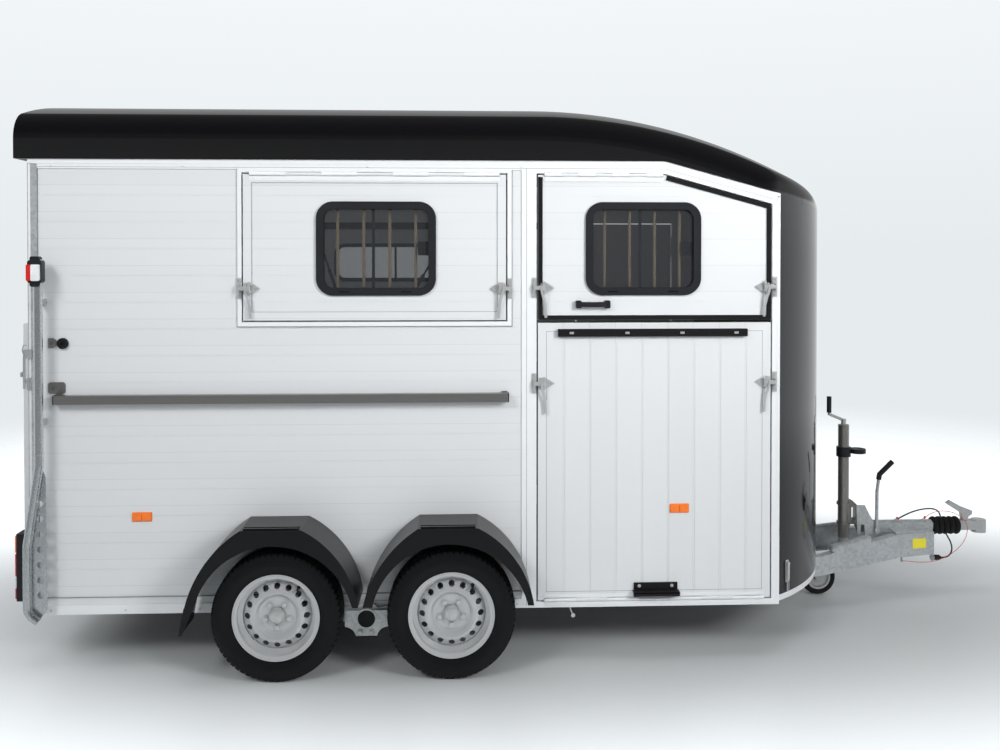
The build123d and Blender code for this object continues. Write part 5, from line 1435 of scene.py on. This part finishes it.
def place_world():
    """A pale backdrop for the eye, glass and metal, dark overhead for metal, and a soft even light."""
    world = bpy.data.worlds.new("studio")
    world.use_nodes = True
    bpy.context.scene.world = world
    tree = world.node_tree
    tree.nodes.clear()

    def made(kind, **values):
        return new_node(tree, kind, values)

    output = made("ShaderNodeOutputWorld")
    shown = made("ShaderNodeBackground", Strength=1.0)
    mirrored = made("ShaderNodeBackground", Strength=1.0)
    ambient = made("ShaderNodeBackground", Color=(0.93, 0.96, 1.0, 1), Strength=AMBIENT)
    coordinates = made("ShaderNodeTexCoord")
    split = made("ShaderNodeSeparateXYZ")

    def link(source, output_name, target, input_name):
        tree.links.new(source.outputs[output_name], target.inputs[input_name])

    link(coordinates, "Generated", split, "Vector")
    ceiling = made("ShaderNodeValToRGB")
    stops = ceiling.color_ramp.elements
    stops[0].position = 0.0
    stops[0].color = (0.72, 0.74, 0.76, 1)
    stops[1].position = 1.0
    stops[1].color = (0.06, 0.06, 0.06, 1)
    for position, level in ((0.09, 0.92), (0.14, 0.36), (0.34, 0.28), (0.50, 0.07)):
        stop = stops.new(position)
        stop.color = (level, level * 1.01, level * 1.02, 1)
    link(split, "Z", ceiling, "Fac")
    link(ceiling, "Color", mirrored, "Color")
    wall = made("ShaderNodeValToRGB")
    wall.color_ramp.elements[0].color = (*BACKDROP_LOW, 1)
    wall.color_ramp.elements[1].color = (*BACKDROP, 1)
    wall.color_ramp.elements[1].position = 0.3
    link(split, "Z", wall, "Fac")
    link(wall, "Color", shown, "Color")
    front = made("ShaderNodeMapRange")
    for socket, value in (("From Min", -0.55), ("From Max", 0.10), ("To Min", FRONT_SHARE), ("To Max", 1.0)):
        front.inputs[socket].default_value = value
    link(split, "Y", front, "Value")
    link(front, "Result", mirrored, "Strength")
    path = made("ShaderNodeLightPath")
    seen = made("ShaderNodeMath", operation="MAXIMUM")
    link(path, "Is Camera Ray", seen, 0)
    link(path, "Is Transmission Ray", seen, 1)
    eye = made("ShaderNodeMixShader")
    link(path, "Is Glossy Ray", eye, 0)
    link(ambient, 0, eye, 1)
    link(mirrored, 0, eye, 2)
    mix = made("ShaderNodeMixShader")
    link(seen, 0, mix, 0)
    link(eye, 0, mix, 1)
    link(shown, 0, mix, 2)
    link(mix, 0, output, "Surface")


def place_floor():
    """A pale satin floor that passes into the backdrop with distance; its glow for the eye is left out round the
    trailer's footprint, which paints shade on the floor under the trailer.
    """
    bm = bmesh.new()
    bmesh.ops.create_circle(bm, cap_ends=True, segments=96, radius=60)
    mesh = bpy.data.meshes.new("studio_floor")
    bm.to_mesh(mesh)
    bm.free()
    floor = bpy.data.objects.new("studio_floor", mesh)
    finish = Finish("studio_floor", FLOOR_COLOR, 0.36)
    coordinates = finish.node("ShaderNodeTexCoord")
    distance = finish.node("ShaderNodeVectorMath", operation="LENGTH")
    finish.link(coordinates.outputs["Object"], distance.inputs[0])
    fade = finish.node("ShaderNodeMapRange", interpolation_type="SMOOTHSTEP")
    fade.inputs["From Min"].default_value = FLOOR_NEAR
    fade.inputs["From Max"].default_value = FLOOR_FAR
    finish.link(distance.outputs["Value"], fade.inputs["Value"])
    clear = finish.node("ShaderNodeBsdfTransparent")
    # No glow over the trailer's footprint, rising outside it: painted shade on the floor under and round the trailer.
    shade_footprint = finish.node("ShaderNodeVectorMath", operation="LENGTH")
    finish.link(finish.position((1 / PAINTED_SHADE_REACH[0], 1 / PAINTED_SHADE_REACH[1], 1)), shade_footprint.inputs[0])
    glow_outside_shade = finish.node("ShaderNodeMapRange", interpolation_type="SMOOTHSTEP")
    for socket, value in (("From Min", 0.7), ("From Max", 1.7), ("To Max", GLOW)):
        glow_outside_shade.inputs[socket].default_value = value
    finish.link(shade_footprint.outputs["Value"], glow_outside_shade.inputs["Value"])
    path = finish.node("ShaderNodeLightPath")
    seen = finish.node("ShaderNodeMath", operation="MULTIPLY")
    finish.link(path.outputs["Is Camera Ray"], seen.inputs[0])
    finish.link(glow_outside_shade.outputs["Result"], seen.inputs[1])
    glow = finish.node("ShaderNodeEmission", Color=(0.94, 0.98, 1.0, 1))
    finish.link(seen.outputs[0], glow.inputs["Strength"])
    lit = finish.node("ShaderNodeAddShader")
    finish.link(finish.shader.outputs[0], lit.inputs[0])
    finish.link(glow.outputs[0], lit.inputs[1])
    mix = finish.node("ShaderNodeMixShader")
    finish.link(fade.outputs["Result"], mix.inputs[0])
    finish.link(lit.outputs[0], mix.inputs[1])
    finish.link(clear.outputs[0], mix.inputs[2])
    finish.link(mix.outputs[0], finish.tree.nodes["Material Output"].inputs["Surface"])
    mesh.materials.append(finish.material)
    bpy.context.scene.collection.objects.link(floor)


place_lights()
place_world()
place_floor()
bpy.context.scene.view_settings.view_transform = "Standard"
